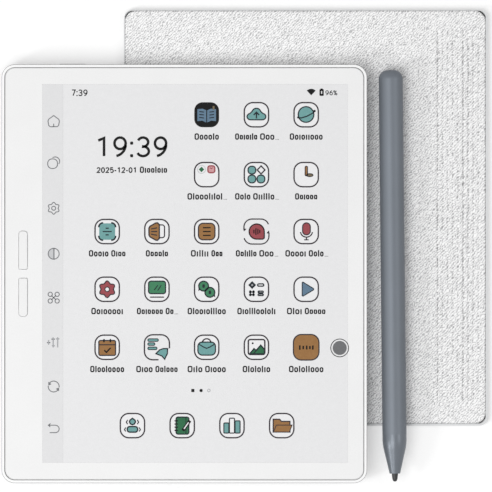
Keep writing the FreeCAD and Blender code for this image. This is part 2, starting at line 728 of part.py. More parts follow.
key_board_top = "(%s + key_board_thick)" % DIGITIZER
slab("button_board", "tablet", DIGITIZER, "key_board_thick",
     (add_plate, "switch_width", "2 * (key_first + key_length)", KEY_X, "0"))
page_switches = slab("page_switches", "tablet", key_board_top, "dome_thick",
                     *[(add_plate, "switch_width", "switch_width", KEY_X, "%s%s" % (side, KEY_MIDDLE))
                       for side in sides])
layer(page_switches, pad, "(%s + dome_thick)" % key_board_top, "(switch_height - dome_thick)",
      *[(add_plate, "switch_width", "switch_width", KEY_X, "%s%s" % (side, KEY_MIDDLE)) for side in sides],
      *[(add_disc, "(key_stem + key_gap)", KEY_X, "%s%s" % (side, KEY_MIDDLE)) for side in sides])
flange_top = "(%s - key_seat_gap)" % PANEL
flange_base = "(%s - key_flange)" % flange_top
stem_base = "(%s + dome_thick + key_travel + key_seat_gap)" % key_board_top
key_names = (("page_back_button", "", "key_near_round", "key_end_round"),
             ("page_next_button", "-", "key_end_round", "key_near_round"))
for name, side, near, far in key_names:
    middle = "%s%s" % (side, KEY_MIDDLE)
    button = slab(name, "tablet", flange_base, "key_flange",
                  (add_plate, "(key_width + 2 * key_flange)", "(key_length + 2 * key_flange)", KEY_X, middle))
    layer(button, pad, flange_top, "(%s + key_stand - %s)" % (PANEL_TOP, flange_top),
          (add_rounded, "key_width", "key_length", near, KEY_X, middle, far))
    layer(button, pad, stem_base, "(%s - %s)" % (flange_base, stem_base),
          (add_disc, "key_stem", KEY_X, middle))
    round_edges(button, "key_round", flat_at("Z", value_of("%s + key_stand" % PANEL_TOP)))

power_button = new_body("power_button", "tablet")
power_face = new_sketch(power_button, "XZ", "-(%s + power_stand)" % HALF_LENGTH)
add_rounded(power_face, "power_width", "power_height", "(power_height / 2 - power_gap)",
            "-power_across", POWER_MID)
pad(power_button, power_face, "(power_stand + rim_wall + power_gap)")
power_rim = new_sketch(power_button, "XZ", "-(%s - rim_wall - power_gap / 2)" % HALF_LENGTH)
add_plate(power_rim, "(power_width + 2 * rim_wall)", "power_height", "-power_across", POWER_MID)
pad(power_button, power_rim, "power_flange")
round_edges(power_button, "power_round", flat_at("Y", value_of("%s + power_stand" % HALF_LENGTH)))
switch_front = "(%s - rim_wall - power_gap / 2 - power_flange - power_travel - power_gap)" % HALF_LENGTH
slab("power_switch", "tablet", "(%s - power_height / 2)" % BOARD, "power_height / 2",
     (add_plate, "(power_width / 2)", "connector_length", "-power_across",
      "(%s - connector_length / 2)" % switch_front))

card_tray = slab("card_tray", "tablet", "(%s - tray_thick / 2)" % TRAY_MID, "tray_thick",
                 (add_plate, "tray_width", "tray_length", "tray_across",
                  "(%s - rim_wall - tray_length / 2)" % HALF_LENGTH),
                 (add_plate, "card_width", "card_length", "tray_across",
                  "(%s - rim_wall - tray_length + rim_wall + card_length / 2)" % HALF_LENGTH))
tray_face = new_sketch(card_tray, "XZ", "-(%s)" % HALF_LENGTH)
add_rounded(tray_face, "tray_face_width", "tray_face_height", "(tray_face_height / 2 - tray_gap)",
            "tray_across", TRAY_MID)
pad(card_tray, tray_face, "(rim_wall)")
reader_width = "(tray_width + 2 * (tray_gap + reader_wall))"
reader_inside = "(tray_width + 2 * tray_gap)"
reader_length = "(card_length + 2 * rim_wall)"
reader_y = "(%s - %s - lip_wall - %s / 2)" % (HALF_LENGTH, lip_inside, reader_length)
card_reader = slab("card_reader", "tablet", BOARD_TOP, "(2 * reader_wall + tray_thick + tray_gap)",
                   (add_plate, reader_width, reader_length, "tray_across", reader_y))
layer(card_reader, pocket, "(%s + reader_wall)" % BOARD_TOP, "(tray_thick + tray_gap)",
      (add_plate, reader_inside, "(%s + 2 * rim_wall)" % reader_length, "tray_across", reader_y))

# ---- Rear grip cover ----

slab("cover_lining", "cover", "0", "lining_thick",
     cover_edge("lining_inset"))
cover_shell = slab("cover_shell", "cover", "lining_thick", "(cover_depth - lining_thick)",
                   cover_edge("0"))
layer(cover_shell, pocket, "(cover_depth - skin_thick)", "skin_thick",
      cover_edge("cover_rim", "-skin_left", "skin_up"))
magnet_pocket = "(magnet_depth + magnet_gap)"
layer(cover_shell, pocket, "lining_thick", magnet_pocket,
      *[(add_plate, "(magnet_width + 2 * magnet_gap)", "(magnet_length + 2 * magnet_gap)", x, y)
        for x, y in magnet_places])
slab("cover_magnets", "cover", "lining_thick", "magnet_depth",
     *[(add_plate, "magnet_width", "magnet_length", x, y) for x, y in magnet_places])

skin_inset = "(cover_rim + skin_gap)"
cover_skin = slab("cover_skin", "cover", "(cover_depth - skin_thick)", "skin_thick",
                  cover_edge(skin_inset, "-skin_left", "skin_up"))
groove_length = "(%s - groove_top - groove_bottom)" % COVER_LENGTH
grooves = []
for step in range(int(driving["groove_count"])):
    across = "(%s / 2 - groove_first - %d * groove_pitch)" % (COVER_WIDTH, step)
    grooves.append((add_rounded, "groove_width", groove_length, "(groove_width / 2 - skin_gap)", across,
                    "(groove_bottom - groove_top) / 2"))
layer(cover_skin, pocket, "(cover_depth - groove_depth)", "groove_depth", *grooves)

# ---- Stylus: every piece is drawn along its own axis, the tip at the start ----


def turned(name, corners):
    """A round piece of the pen: half its section, turned about the pen's axis."""
    body = new_body(name, "pen")
    sketch = new_sketch(body, "XY", "0")
    add_polygon(sketch, corners)
    revolve(body, sketch)
    body.setExpression("Placement.Rotation.Angle", "sizes.pen_turn")
    return body


barrel_start = "(nib_show + cone_length)"
barrel_end = "(pen_length - cap_length)"
bore = "(pen_radius - pen_wall)"
spigot = "(%s - spigot_gap)" % bore
cone_shoulder = "(nib_show + nib_guide)"
bend_start = "(nib_show + cone_bend)"
carrier_start = "(%s + spigot_length + carrier_gap)" % barrel_start
carrier_end = "(%s - spigot_length - carrier_gap)" % barrel_end
carrier_radius = "(%s - carrier_gap)" % bore
sensor_start = "(%s - sensor_length)" % carrier_start
shank_end = "(%s - sensor_gap - nib_travel)" % sensor_start

turned("stylus_barrel", [
    (bore, barrel_start), ("pen_radius", barrel_start), ("pen_radius", barrel_end), (bore, barrel_end)])
stylus_cone = turned("stylus_cone", [
    ("(nib_radius + nib_gap)", "nib_show"),
    ("cone_tip", "nib_show"),
    ("pen_radius", bend_start),
    ("pen_radius", barrel_start),
    (spigot, barrel_start),
    (spigot, "(%s + spigot_length)" % barrel_start),
    ("chamber_radius", "(%s + spigot_length)" % barrel_start),
    ("chamber_radius", cone_shoulder),
    ("(nib_radius + nib_gap)", cone_shoulder),
])
stylus_cap = turned("stylus_cap", [
    ("0", "(%s - spigot_length)" % barrel_end),
    (spigot, "(%s - spigot_length)" % barrel_end),
    (spigot, barrel_end),
    ("pen_radius", barrel_end),
    ("pen_radius", "pen_length"),
    ("0", "pen_length"),
])
turned("stylus_nib", [
    ("0", "0"),
    ("nib_point", "(nib_crown / 3)"),
    ("(nib_shoulder * 3 / 4)", "(nib_crown * 3 / 2)"),
    ("nib_shoulder", "nib_nose"),
    ("nib_radius", "(nib_show - nib_crown)"),
    ("nib_radius", "(%s - nib_travel - nib_gap)" % cone_shoulder),
    ("nib_shank", "(%s - nib_travel - nib_gap)" % cone_shoulder),
    ("nib_shank", shank_end),
    ("0", shank_end),
])
core_end = "(%s + core_length)" % cone_shoulder
turned("nib_core", [
    ("(nib_shank + core_gap)", cone_shoulder), ("core_radius", cone_shoulder),
    ("core_radius", core_end), ("(nib_shank + core_gap)", core_end)])
turned("nib_coil", [
    ("(core_radius + coil_gap)", "(%s + coil_setback)" % cone_shoulder),
    ("(chamber_radius - coil_gap)", "(%s + coil_setback)" % cone_shoulder),
    ("(chamber_radius - coil_gap)", "(%s - coil_setback)" % core_end),
    ("(core_radius + coil_gap)", "(%s - coil_setback)" % core_end)])
turned("force_sensor", [
    ("0", sensor_start), ("(chamber_radius - coil_gap)", sensor_start),
    ("(chamber_radius - coil_gap)", carrier_start), ("0", carrier_start)])
stylus_carrier = turned("stylus_carrier", [
    ("0", carrier_start), (carrier_radius, carrier_start), (carrier_radius, carrier_end), ("0", carrier_end)])
board_room = "(2 * %s)" % carrier_radius
carrier_middle = "(%s + %s) / 2" % (carrier_start, carrier_end)
carrier_flat = "(%s - %s - 2 * spigot_length)" % (carrier_end, carrier_start)
layer(stylus_carrier, pocket, "0", bore, (add_plate, board_room, carrier_flat, "0", carrier_middle))
pen_board_y = "(%s + spigot_length + pen_board_length / 2 + carrier_gap)" % carrier_start
stylus_board = slab("stylus_board", "pen", "0", "board_thick",
                    (add_plate, "pen_board_width", "pen_board_length", "0", pen_board_y))
pen_magnet_y = "(%s - spigot_length - pen_magnet_length / 2 - carrier_gap)" % carrier_end
stylus_magnets = slab("stylus_magnets", "pen", "0", "pen_magnet_depth",
                      (add_plate, "magnet_length", "pen_magnet_length", "0", pen_magnet_y),
                      (add_plate, "magnet_length", "pen_magnet_length", "0",
                       "(%s - pen_magnet_length - spigot_length)" % pen_magnet_y))
for body in (stylus_board, stylus_magnets):
    body.setExpression("Placement.Rotation.Angle", "sizes.pen_turn")
doc.recompute()


def pen_edge(along):
    """A round edge as wide as the pen, at a distance along it."""
    place = value_of(along)

    def chosen(edge):
        curve = edge.Curve
        return isinstance(curve, Part.Circle) and abs(curve.Radius - value_of("pen_radius")) < 1e-4 \
            and abs(curve.Center.y - place) < 1e-4

    return chosen


round_edges(stylus_cap, "cap_round", pen_edge("pen_length"))
round_edges(stylus_cone, "cone_round", pen_edge(bend_start))

# ---- Checks and files ----

doc.recompute()
for thing in doc.Objects:
    if "Invalid" in thing.State or "Error" in thing.State:
        raise RuntimeError("%s failed to build" % thing.Label)
for body in pieces:
    if body.Shape.isNull() or not body.Shape.isValid() or not body.Shape.Solids:
        raise RuntimeError("%s has no sound shape" % body.Label)

os.makedirs("parts", exist_ok=True)
for body in pieces:
    body.Shape.exportStep("parts/%s.step" % body.Label)
    box = body.Shape.BoundBox
    print("%-20s solids %2d  z %.2f to %.2f" % (body.Label, len(body.Shape.Solids), box.ZMin, box.ZMax))
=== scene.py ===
import bpy
import math
import random
import numpy as np
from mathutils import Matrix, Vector


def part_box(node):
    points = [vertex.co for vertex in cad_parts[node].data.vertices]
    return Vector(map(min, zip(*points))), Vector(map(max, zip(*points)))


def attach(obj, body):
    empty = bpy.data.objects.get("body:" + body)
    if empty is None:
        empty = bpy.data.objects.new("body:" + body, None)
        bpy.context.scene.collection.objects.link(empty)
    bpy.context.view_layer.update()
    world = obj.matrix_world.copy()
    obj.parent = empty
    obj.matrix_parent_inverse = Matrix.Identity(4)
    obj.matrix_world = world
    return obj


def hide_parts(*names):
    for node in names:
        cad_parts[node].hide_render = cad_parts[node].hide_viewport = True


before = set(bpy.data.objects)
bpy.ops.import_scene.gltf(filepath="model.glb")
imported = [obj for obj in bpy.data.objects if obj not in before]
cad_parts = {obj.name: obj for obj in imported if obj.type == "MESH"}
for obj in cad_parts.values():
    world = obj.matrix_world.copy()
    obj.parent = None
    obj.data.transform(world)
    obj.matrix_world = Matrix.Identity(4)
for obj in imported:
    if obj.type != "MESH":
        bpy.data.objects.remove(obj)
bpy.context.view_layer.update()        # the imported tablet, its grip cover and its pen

# A paper-display pocket tablet lying across its leather grip cover, with its slate pen beside it.
# Everything is in metres in the CAD's own frame. Sizes that end in Mm are millimetres.

mm = 0.001
lensLow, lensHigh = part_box("screen_lens")
stripLow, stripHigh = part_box("shortcut_strip")
print("frame loaded:", len(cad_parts), "nodes")


def hexColour(text):  # sRGB hex to linear
    parts = [int(text[i:i + 2], 16) / 255 for i in (1, 3, 5)]
    linear = [c / 12.92 if c <= 0.04045 else ((c + 0.055) / 1.055) ** 2.4 for c in parts]
    return (*linear, 1.0)


def addNode(tree, kind, settings, wires):  # settings are the node's own, wires its sockets
    node = tree.nodes.new("ShaderNode" + kind)
    for name, value in settings.items():
        setattr(node, name, value)
    for key, value in wires.items():
        if isinstance(value, bpy.types.NodeSocket):
            tree.links.new(value, node.inputs[key])
        else:
            node.inputs[key].default_value = value
    return node


def startMaterial(name, shaderValues):
    material = bpy.data.materials.new(name)
    material.use_nodes = True
    tree = material.node_tree
    tree.nodes.clear()
    shader = addNode(tree, "BsdfPrincipled", {}, shaderValues)
    addNode(tree, "OutputMaterial", {}, {"Surface": shader.outputs[0]})
    return material, tree, shader


def setRamp(node, stops):
    ramp = node.color_ramp
    while len(ramp.elements) < len(stops):
        ramp.elements.new(0.5)
    for element, (place, colour) in zip(ramp.elements, stops):
        element.position = place
        element.color = hexColour(colour)
    return node.outputs["Color"]


pattern = {
    "noiseLow": 0.3, "noiseHigh": 0.7,  # the part of a noise that carries its shades
    "patchMm": 14.0, "patchShare": 0.35,  # slow patches that lie under each grain
    "ditherMm": 0.42, "ditherLow": 0.25, "ditherHigh": 0.75, "cloudMm": 1.6, "frostMm": 0.35,
    "frostDeepMm": 0.004, "frostRough": (0.45, 0.55),
}


def addSurface(tree, shader, noise, rough, strength, depthMm):  # one noise makes gloss and bump
    gloss = addNode(tree, "MapRange", {}, {
        0: noise, 1: pattern["noiseLow"], 2: pattern["noiseHigh"], 3: rough[0], 4: rough[1]})
    tree.links.new(gloss.outputs[0], shader.inputs["Roughness"])
    bump = addNode(tree, "Bump", {}, {
        "Strength": strength, "Distance": depthMm * mm, "Height": noise})
    tree.links.new(bump.outputs[0], shader.inputs["Normal"])


# One finish with a grain: two shades, the grain's size, depth and stretch, and its gloss.
def grainedFinish(name, dark, light, grainMm, depthMm, rough, shaderValues, stretch=(1, 1, 1)):
    material, tree, shader = startMaterial(name, shaderValues)
    place = addNode(tree, "TexCoord", {}, {}).outputs["Object"]
    stretched = addNode(tree, "Mapping", {}, {"Vector": place, "Scale": stretch})
    grain = addNode(tree, "TexNoise", {}, {
        "Vector": stretched.outputs[0], "Scale": 1 / (grainMm * mm), "Detail": 4.0,
        "Roughness": 0.6})
    slow = addNode(tree, "TexNoise", {}, {
        "Vector": place, "Scale": 1 / (pattern["patchMm"] * mm), "Detail": 2.0})
    both = addNode(tree, "Mix", {"data_type": "FLOAT"}, {
        0: pattern["patchShare"], 2: grain.outputs["Fac"], 3: slow.outputs["Fac"]})
    ramp = addNode(tree, "ValToRGB", {}, {0: both.outputs[0]})
    shades = setRamp(ramp, [(pattern["noiseLow"], dark), (pattern["noiseHigh"], light)])
    tree.links.new(shades, shader.inputs["Base Color"])
    addSurface(tree, shader, grain.outputs["Fac"], rough, 1.0, depthMm)
    return material


# Colour e-paper under its lens: near-flat grey with the fine dither that ink capsules leave.
# The real dither is 0.085 mm, drawn at 0.42 mm so that it shows.
def inkFinish(name, dark, light):
    material, tree, shader = startMaterial(name, {"IOR": 1.49, "Specular IOR Level": 0.14})
    place = addNode(tree, "TexCoord", {}, {}).outputs["Object"]
    capsules = addNode(tree, "TexVoronoi", {"feature": "F1"}, {
        "Vector": place, "Scale": 1 / (pattern["ditherMm"] * mm)})
    cloud = addNode(tree, "TexNoise", {}, {
        "Vector": place, "Scale": 1 / (pattern["cloudMm"] * mm), "Detail": 3.0})
    both = addNode(tree, "Mix", {"data_type": "FLOAT"}, {
        0: 0.5, 2: capsules.outputs["Distance"], 3: cloud.outputs["Fac"]})
    ramp = addNode(tree, "ValToRGB", {}, {0: both.outputs[0]})
    shades = setRamp(ramp, [(pattern["ditherLow"], dark), (pattern["ditherHigh"], light)])
    tree.links.new(shades, shader.inputs["Base Color"])
    frost = addNode(tree, "TexNoise", {}, {
        "Vector": place, "Scale": 1 / (pattern["frostMm"] * mm), "Detail": 2.0})
    addSurface(tree, shader, frost.outputs["Fac"], pattern["frostRough"], 0.5,
               pattern["frostDeepMm"])
    return material


# Painted shade: a grey band at one height, which darkens the rounded top edge of the frame.
def addPaintedEdgeShade(material, lowM, highM, shade):
    tree = material.node_tree
    shader = next(n for n in tree.nodes if n.type == "BSDF_PRINCIPLED")
    place = addNode(tree, "TexCoord", {}, {})
    height = addNode(tree, "SeparateXYZ", {}, {0: place.outputs["Object"]})
    across = addNode(tree, "MapRange", {}, {0: height.outputs[2], 1: lowM, 2: highM})
    ramp = addNode(tree, "ValToRGB", {}, {0: across.outputs[0]})
    setRamp(ramp, [(0.0, "#FFFFFF"), (0.2, shade), (0.85, shade), (1.0, "#FFFFFF")])
    tinted = addNode(tree, "Mix", {"data_type": "RGBA", "blend_type": "MULTIPLY"}, {
        0: 1.0, 6: shader.inputs["Base Color"].links[0].from_socket, 7: ramp.outputs[0]})
    tree.links.new(tinted.outputs[2], shader.inputs["Base Color"])


metal = {"Metallic": 1.0}
# By the CAD's slot: the name, two shades, the grain's size and depth in mm, roughness, the shader's
# own values, and how the grain is stretched along x, y and z.
slotSettings = {
    # ABS, injection moulded in a spark-eroded tool: a clean, silky white with a faint sparkle.
    "case_white": ("mouldedWhiteAbs", "#F4F4F4", "#FAFAFA", 0.45, 0.012, (0.42, 0.52),
        {"IOR": 1.53, "Specular IOR Level": 0.4}),
    # ABS keys from a polished tool: satin, with a soft shine on their round edges.
    "key_white": ("satinWhiteKeys", "#E9E9E9", "#EEEEEE", 0.6, 0.006, (0.28, 0.36), {"IOR": 1.53}),
    # Grip cover shell, PC and ABS, moulded: white, satin; its pale grey is painted shade for the
    # sloped rim.
    "cover_white": ("mouldedCoverWhite", "#D3D4D5", "#DEDFE0", 0.5, 0.012, (0.45, 0.55),
        {"IOR": 1.54}),
    # Microfibre lining, brushed one way: short pile with a pale sheen.
    "cover_lining": ("brushedMicrofibre", "#B9BBBD", "#CFD1D3", 0.35, 0.05, (0.8, 0.95),
        {"Sheen Weight": 0.4, "Sheen Roughness": 0.4}, (1, 3, 1)),
    # Powder-coated aluminium pen: even slate, slightly soft, so highlights are wide.
    "stylus_slate": ("powderCoatedSlate", "#686E75", "#6F757D", 0.3, 0.012, (0.45, 0.51),
        {"IOR": 1.5, "Metallic": 0.41}),
    # Acetal nib, turned: black, waxy, a short highlight.
    "nib_black": ("turnedBlackAcetal", "#1E1F21", "#2A2B2D", 0.25, 0.01, (0.38, 0.5),
        {"IOR": 1.48}, (1, 5, 1)),
    # Black ABS, moulded: an even, slightly dull black.
    "black_plastic": ("blackAbs", "#1B1B1C", "#262628", 0.5, 0.015, (0.45, 0.6), {"IOR": 1.53}),
    # Clear polyester film and light guide: water-clear with a slight haze.
    "clear_film": ("clearPolyester", "#EEF1F2", "#F7F9FA", 0.8, 0.002, (0.05, 0.12),
        {"IOR": 1.58, "Transmission Weight": 0.9}),
    # Closed-cell polyurethane foam, slit from a block: dull black with open pores.
    "gasket_foam": ("blackFoam", "#161616", "#2C2C2C", 0.35, 0.06, (0.8, 0.95), {"IOR": 1.45}),
    # Display glass and film pressed into one stack: pale grey-green, dull.
    "epaper_stack": ("displayLaminate", "#C9CBC6", "#D8DAD4", 0.5, 0.004, (0.5, 0.6), {"IOR": 1.5}),
    # Solder mask over a glass-cloth board: green, glossy, with the weave just showing.
    "board_mask": ("solderMaskGreen", "#17382A", "#235240", 0.7, 0.01, (0.25, 0.4),
        {"IOR": 1.52, "Coat Weight": 0.3, "Coat Roughness": 0.15}, (1, 2.2, 1)),
    # Polyimide film of the ribbons: clear amber, glossy.
    "ribbon_amber": ("polyimideAmber", "#A8662C", "#C9833E", 0.6, 0.004, (0.2, 0.32), {"IOR": 1.7}),
    # Nylon connectors, moulded: warm ivory, satin.
    "connector_ivory": ("mouldedNylon", "#D8D2C2", "#E6E0D0", 0.5, 0.01, (0.45, 0.55),
        {"IOR": 1.53}),
    # Rolled aluminium sheet, pressed: fine lines along the roll, mid gloss.
    "chassis_alloy": ("pressedAluminium", "#B9BBBE", "#CDCFD1", 0.5, 0.006, (0.28, 0.42),
        metal, (1, 14, 1)),
    # Zinc-plated steel screws: cool silver with a soft sparkle.
    "screw_steel": ("zincPlatedSteel", "#A9ABAF", "#C6C8CC", 0.3, 0.006, (0.25, 0.4), metal),
    # Tinned steel shield cans, rolled: warm silver with lines along the roll.
    "can_nickel": ("tinnedSteel", "#B4B3AE", "#CBCAC5", 0.8, 0.006, (0.22, 0.36), metal, (6, 1, 1)),
    # Brass spacers, turned: yellow and bright, with rings left by the lathe.
    "spacer_brass": ("turnedBrass", "#C9A24E", "#DDBB69", 0.3, 0.008, (0.2, 0.34),
        metal, (1, 1, 8)),
    # Laminated aluminium pouch: dull silver with slow wrinkles.
    "battery_foil": ("pouchFoil", "#AEB0B2", "#C2C4C6", 2.6, 0.05, (0.32, 0.46),
        {"Metallic": 0.85}),
    # PVC insulation, extruded: plain black, satin.
    "lead_black": ("pvcLead", "#141414", "#202020", 0.5, 0.01, (0.4, 0.5), {"IOR": 1.53}),
    # Nickel-plated magnets: warm silver, the brightest metal inside.
    "magnet_nickel": ("nickelPlate", "#B5B2AA", "#CAC7BE", 0.5, 0.004, (0.18, 0.3), metal),
    # Sintered ferrite core: charcoal with a gritty, half-metallic glint.
    "ferrite": ("sinteredFerrite", "#2E2F31", "#45464A", 0.3, 0.02, (0.5, 0.7),
        {"IOR": 1.8, "Metallic": 0.2}),
    # Enamelled copper winding: 0.1 mm wire, drawn as 0.3 mm rings so that the turns show.
    "coil_copper": ("copperWinding", "#9A5530", "#C77B4A", 0.6, 0.03, (0.25, 0.4),
        metal, (0.2, 2, 0.2)),
}
pieceSettings = {  # three pieces that differ from the rest of their slot
    # The front bezel is the same ABS behind a printed film: a shade greyer and flatter.
    "front_panel": ("filmedWhiteAbs", "#ECECEC", "#F2F2F2", 0.5, 0.006, (0.4, 0.48),
        {"IOR": 1.5, "Specular IOR Level": 0.4}),
    # Mid frame in the moulded ABS, with painted shade as a grey band just under the rim, on its
    # rounded edge.
    "mid_frame": ("frameWhiteAbs", "#F6F6F6", "#FCFCFC", 0.45, 0.012, (0.42, 0.52),
        {"IOR": 1.53, "Specular IOR Level": 0.4}),
    # Lacquered aluminium cone of the pen: the same slate, smoother, so a lamp shows as a streak.
    "stylus_cone": ("lacqueredSlateCone", "#676D74", "#6E747C", 0.3, 0.006, (0.34, 0.38),
        {"IOR": 1.5, "Metallic": 0.42}),
}
slotFinish = {slot: grainedFinish(*values) for slot, values in slotSettings.items()}
pieceFinish = {piece: grainedFinish(*values) for piece, values in pieceSettings.items()}
# The bare paper of the display and of the shortcut strip, the strip a shade darker.
slotFinish["screen_lens"] = inkFinish("displayPaper", "#E6E6E7", "#EBEBEC")
slotFinish["strip_lens"] = inkFinish("stripPaper", "#E0E0E1", "#E5E5E6")

# Painted shade on the frame's rounded top edge, from and to in mm below its top.
paintedEdgeShade = {"fromMm": 0.4, "toMm": 0.015, "shade": "#828282"}  # below the frame's top
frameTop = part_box("mid_frame")[1].z
addPaintedEdgeShade(pieceFinish["mid_frame"], frameTop - paintedEdgeShade["fromMm"] * mm,
            frameTop - paintedEdgeShade["toMm"] * mm, paintedEdgeShade["shade"])

for name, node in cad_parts.items():
    for slot in node.material_slots:
        named = slot.material.name.split(".")[0] if slot.material else ""
        finish = pieceFinish.get(name) or slotFinish.get(named)
        if finish:
            slot.material = finish
print("materials on the CAD nodes")


# The cover's skin is a dense sheet, so its grain and its grooves are real shapes.
leather = {
    "quadMm": 0.46,  # spacing of the mesh away from the grooves
    "cornerMm": 4.1,  # cut rounder than the shell, so a seam opens at each corner
    "ridgeMm": 1.3,  # distance from one ridge to the next
    "ridgeLongMm": 3.4,  # how far a ridge runs before it dies away
    "leanDegrees": 44,  # the way the ridges run, up and to the right
    "wanderMm": 0.8, "wanderEveryMm": 3.1,  # how far and how often they bend
    "crossEveryMm": 1.9, "crossShare": 0.3,  # creases that run across the ridges
    "steepness": 2.2, "deepMm": 0.03,
    "groovePitchMm": 1.92, "grooveFirstMm": 3.7, "grooveTopMm": 7.6, "grooveBottomMm": 9.7,
    "grooveHalfMm": 0.2, "grooveDeepMm": 0.46, "grooveFade": 1.7,
    "swayMm": 0.1, "swayEveryMm": 6.0,  # grooves wander a little
    "breakEveryMm": 0.95, "breakBase": 0.72, "breakTimes": 0.9,  # and break up
    "grooveBoldness": [0.45, 0.6, 0.85, 1.0, 0.55, 0.6, 0.45, 0.5, 0.95],  # from the right
    "curlMm": 0.16, "curlWideMm": 0.5,  # how the edge turns down
    "belowTopMm": 0.01, "deepestShare": 0.75,  # of the skin's own thickness
}


def addObject(name, data):
    shown = bpy.data.objects.new(name, data)
    bpy.context.scene.collection.objects.link(shown)
    return shown


def addMesh(name, points, faces):
    mesh = bpy.data.meshes.new(name)
    mesh.from_pydata(points, [], faces)
    mesh.update()
    return addObject(name, mesh)


def prismFaces(start, n):  # a loop of n points above, the same loop below
    ends = [list(range(start, start + n)), list(range(start + 2 * n - 1, start + n - 1, -1))]
    return ends + [[start + (i + 1) % n, start + i, start + n + i, start + n + (i + 1) % n]
                   for i in range(n)]


# Smooth noise from about -1 to 1: slopes on a lattice, scrambled by large odd numbers and a seed.
def gradientNoise(x, y, seed):
    column, row = np.floor(x).astype(np.int64), np.floor(y).astype(np.int64)
    u, v = x - column, y - row
    su, sv = u * u * u * (u * (6 * u - 15) + 10), v * v * v * (v * (6 * v - 15) + 10)

    def slope(i, j, dx, dy):
        mixed = (column + i) * 374761393 + (row + j) * 668265263 + seed * 974634777
        mixed = (mixed ^ (mixed >> 13)) * 1274126177
        angle = ((mixed ^ (mixed >> 16)) & 65535) / 65536 * 2 * np.pi
        return np.cos(angle) * dx + np.sin(angle) * dy

    low = slope(0, 0, u, v) * (1 - su) + slope(1, 0, u - 1, v) * su
    high = slope(0, 1, u, v - 1) * (1 - su) + slope(1, 1, u - 1, v - 1) * su
    return (low * (1 - sv) + high * sv) * 1.5


def leatherHeight(x, y):  # millimetres below the crest, from 0 down
    lean = math.radians(leather["leanDegrees"])
    every = leather["wanderEveryMm"]
    bendX, bendY = (gradientNoise(x / every, y / every, seed) * leather["wanderMm"]
                    for seed in (3, 4))
    along = (x + bendX) * math.cos(lean) + (y + bendY) * math.sin(lean)
    across = -(x + bendX) * math.sin(lean) + (y + bendY) * math.cos(lean)
    coarse = gradientNoise(along / leather["ridgeLongMm"], across / leather["ridgeMm"], 7)
    crossing = gradientNoise(x / leather["crossEveryMm"], y / leather["crossEveryMm"], 9)
    ridge = 1 - np.abs(coarse + leather["crossShare"] * crossing) * leather["steepness"]
    return -(1 - np.clip(ridge, 0, 1)) * leather["deepMm"]


def buildLeather():
    low, high = (np.array(corner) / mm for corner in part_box("cover_skin"))
    coverLow, coverHigh = (np.array(corner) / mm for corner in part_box("cover_shell"))
    pitch, half = leather["groovePitchMm"], leather["grooveHalfMm"]
    centres = [coverHigh[0] - leather["grooveFirstMm"] - i * pitch
               for i in range(len(leather["grooveBoldness"]))]
    steps = (-2 * half, -half, 0, half, 2 * half, pitch / 2)  # closer columns at each groove
    band = sorted(centre + step for centre in centres for step in steps)
    quad = leather["quadMm"]
    xs = np.concatenate([np.linspace(low[0], band[0], int((band[0] - low[0]) / quad))[:-1], band,
                         np.linspace(band[-1], high[0], int((high[0] - band[-1]) / quad) + 1)[1:]])
    ys = np.linspace(low[1], high[1], int((high[1] - low[1]) / quad))
    x, y = np.meshgrid(xs, ys)
    depth = leatherHeight(x, y)

    # fine grooves down the right side, which break up where the grain crosses them
    inside = np.clip(np.minimum(coverHigh[1] - leather["grooveTopMm"] - y,
                                y - coverLow[1] - leather["grooveBottomMm"]) + 1, 0, 1)
    for i, (centre, bold) in enumerate(zip(centres, leather["grooveBoldness"])):
        sway = gradientNoise(y / leather["swayEveryMm"], np.full_like(y, i * 3.7), 11)
        off = np.abs(x - centre - sway * leather["swayMm"])
        near = np.clip(1 - off / (half * leather["grooveFade"]), 0, 1)
        gaps = gradientNoise(y / leather["breakEveryMm"], np.full_like(y, i * 5.1), 12)
        broken = np.clip(leather["breakBase"] + leather["breakTimes"] * gaps, 0, 1)
        depth -= near * broken * inside * bold * leather["grooveDeepMm"]

    # the edge turns down, and the four corners are drawn in to their arcs
    edge = np.minimum.reduce([x - low[0], high[0] - x, y - low[1], high[1] - y])
    depth -= np.clip(1 - edge / leather["curlWideMm"], 0, 1) ** 2 * leather["curlMm"]
    radius = leather["cornerMm"]
    for sideX, sideY in ((-1, -1), (1, -1), (-1, 1), (1, 1)):
        centreX = high[0] - radius if sideX > 0 else low[0] + radius
        centreY = high[1] - radius if sideY > 0 else low[1] + radius
        outX, outY = (x - centreX) * sideX, (y - centreY) * sideY
        inCorner = (outX > 0) & (outY > 0)
        longest, reach = np.maximum(outX, outY), np.maximum(np.hypot(outX, outY), 1e-9)
        scale = np.where(inCorner, longest / reach, 1)
        x = np.where(inCorner, centreX + (x - centreX) * scale, x)
        y = np.where(inCorner, centreY + (y - centreY) * scale, y)

    rows, columns = x.shape
    deepest = (high[2] - low[2]) * leather["deepestShare"]
    top = high[2] - leather["belowTopMm"] + np.clip(depth, -deepest, 0)
    points = np.stack([x, y, top], axis=-1).reshape(-1, 3)
    index = np.arange(rows * columns).reshape(rows, columns)
    rim = np.concatenate([index[0, :-1], index[:-1, -1], index[-1, :0:-1], index[:0:-1, 0]])
    base = points[rim].copy()
    base[:, 2] = low[2]
    quads = [index[:-1, :-1], index[:-1, 1:], index[1:, 1:], index[1:, :-1]]
    faces = np.stack(quads, axis=-1).reshape(-1, 4).tolist()
    count, around = len(points), len(rim)
    for i in range(around):
        j = (i + 1) % around
        faces.append([int(rim[j]), int(rim[i]), count + i, count + j])
    faces.append([count + i for i in reversed(range(around))])
    skin = addMesh("leather_skin", (np.concatenate([points, base]) * mm).tolist(), faces)
    skin.data.polygons.foreach_set("use_smooth", [len(f) == 4 for f in faces])
    skin.data.update()
    return skin, high[2] * mm


leatherSkin, leatherTop = buildLeather()

# Black foam in the gap that the leather leaves at each corner of the shell: a dark piece that
# paints the shade of that gap.
cornerShadeFoam = {"fromDegrees": 22, "overDegrees": 46, "steps": 10, "outMm": 0.32, "inMm": 0.02,
              "belowTopMm": 0.3, "aboveFootMm": 0.05}


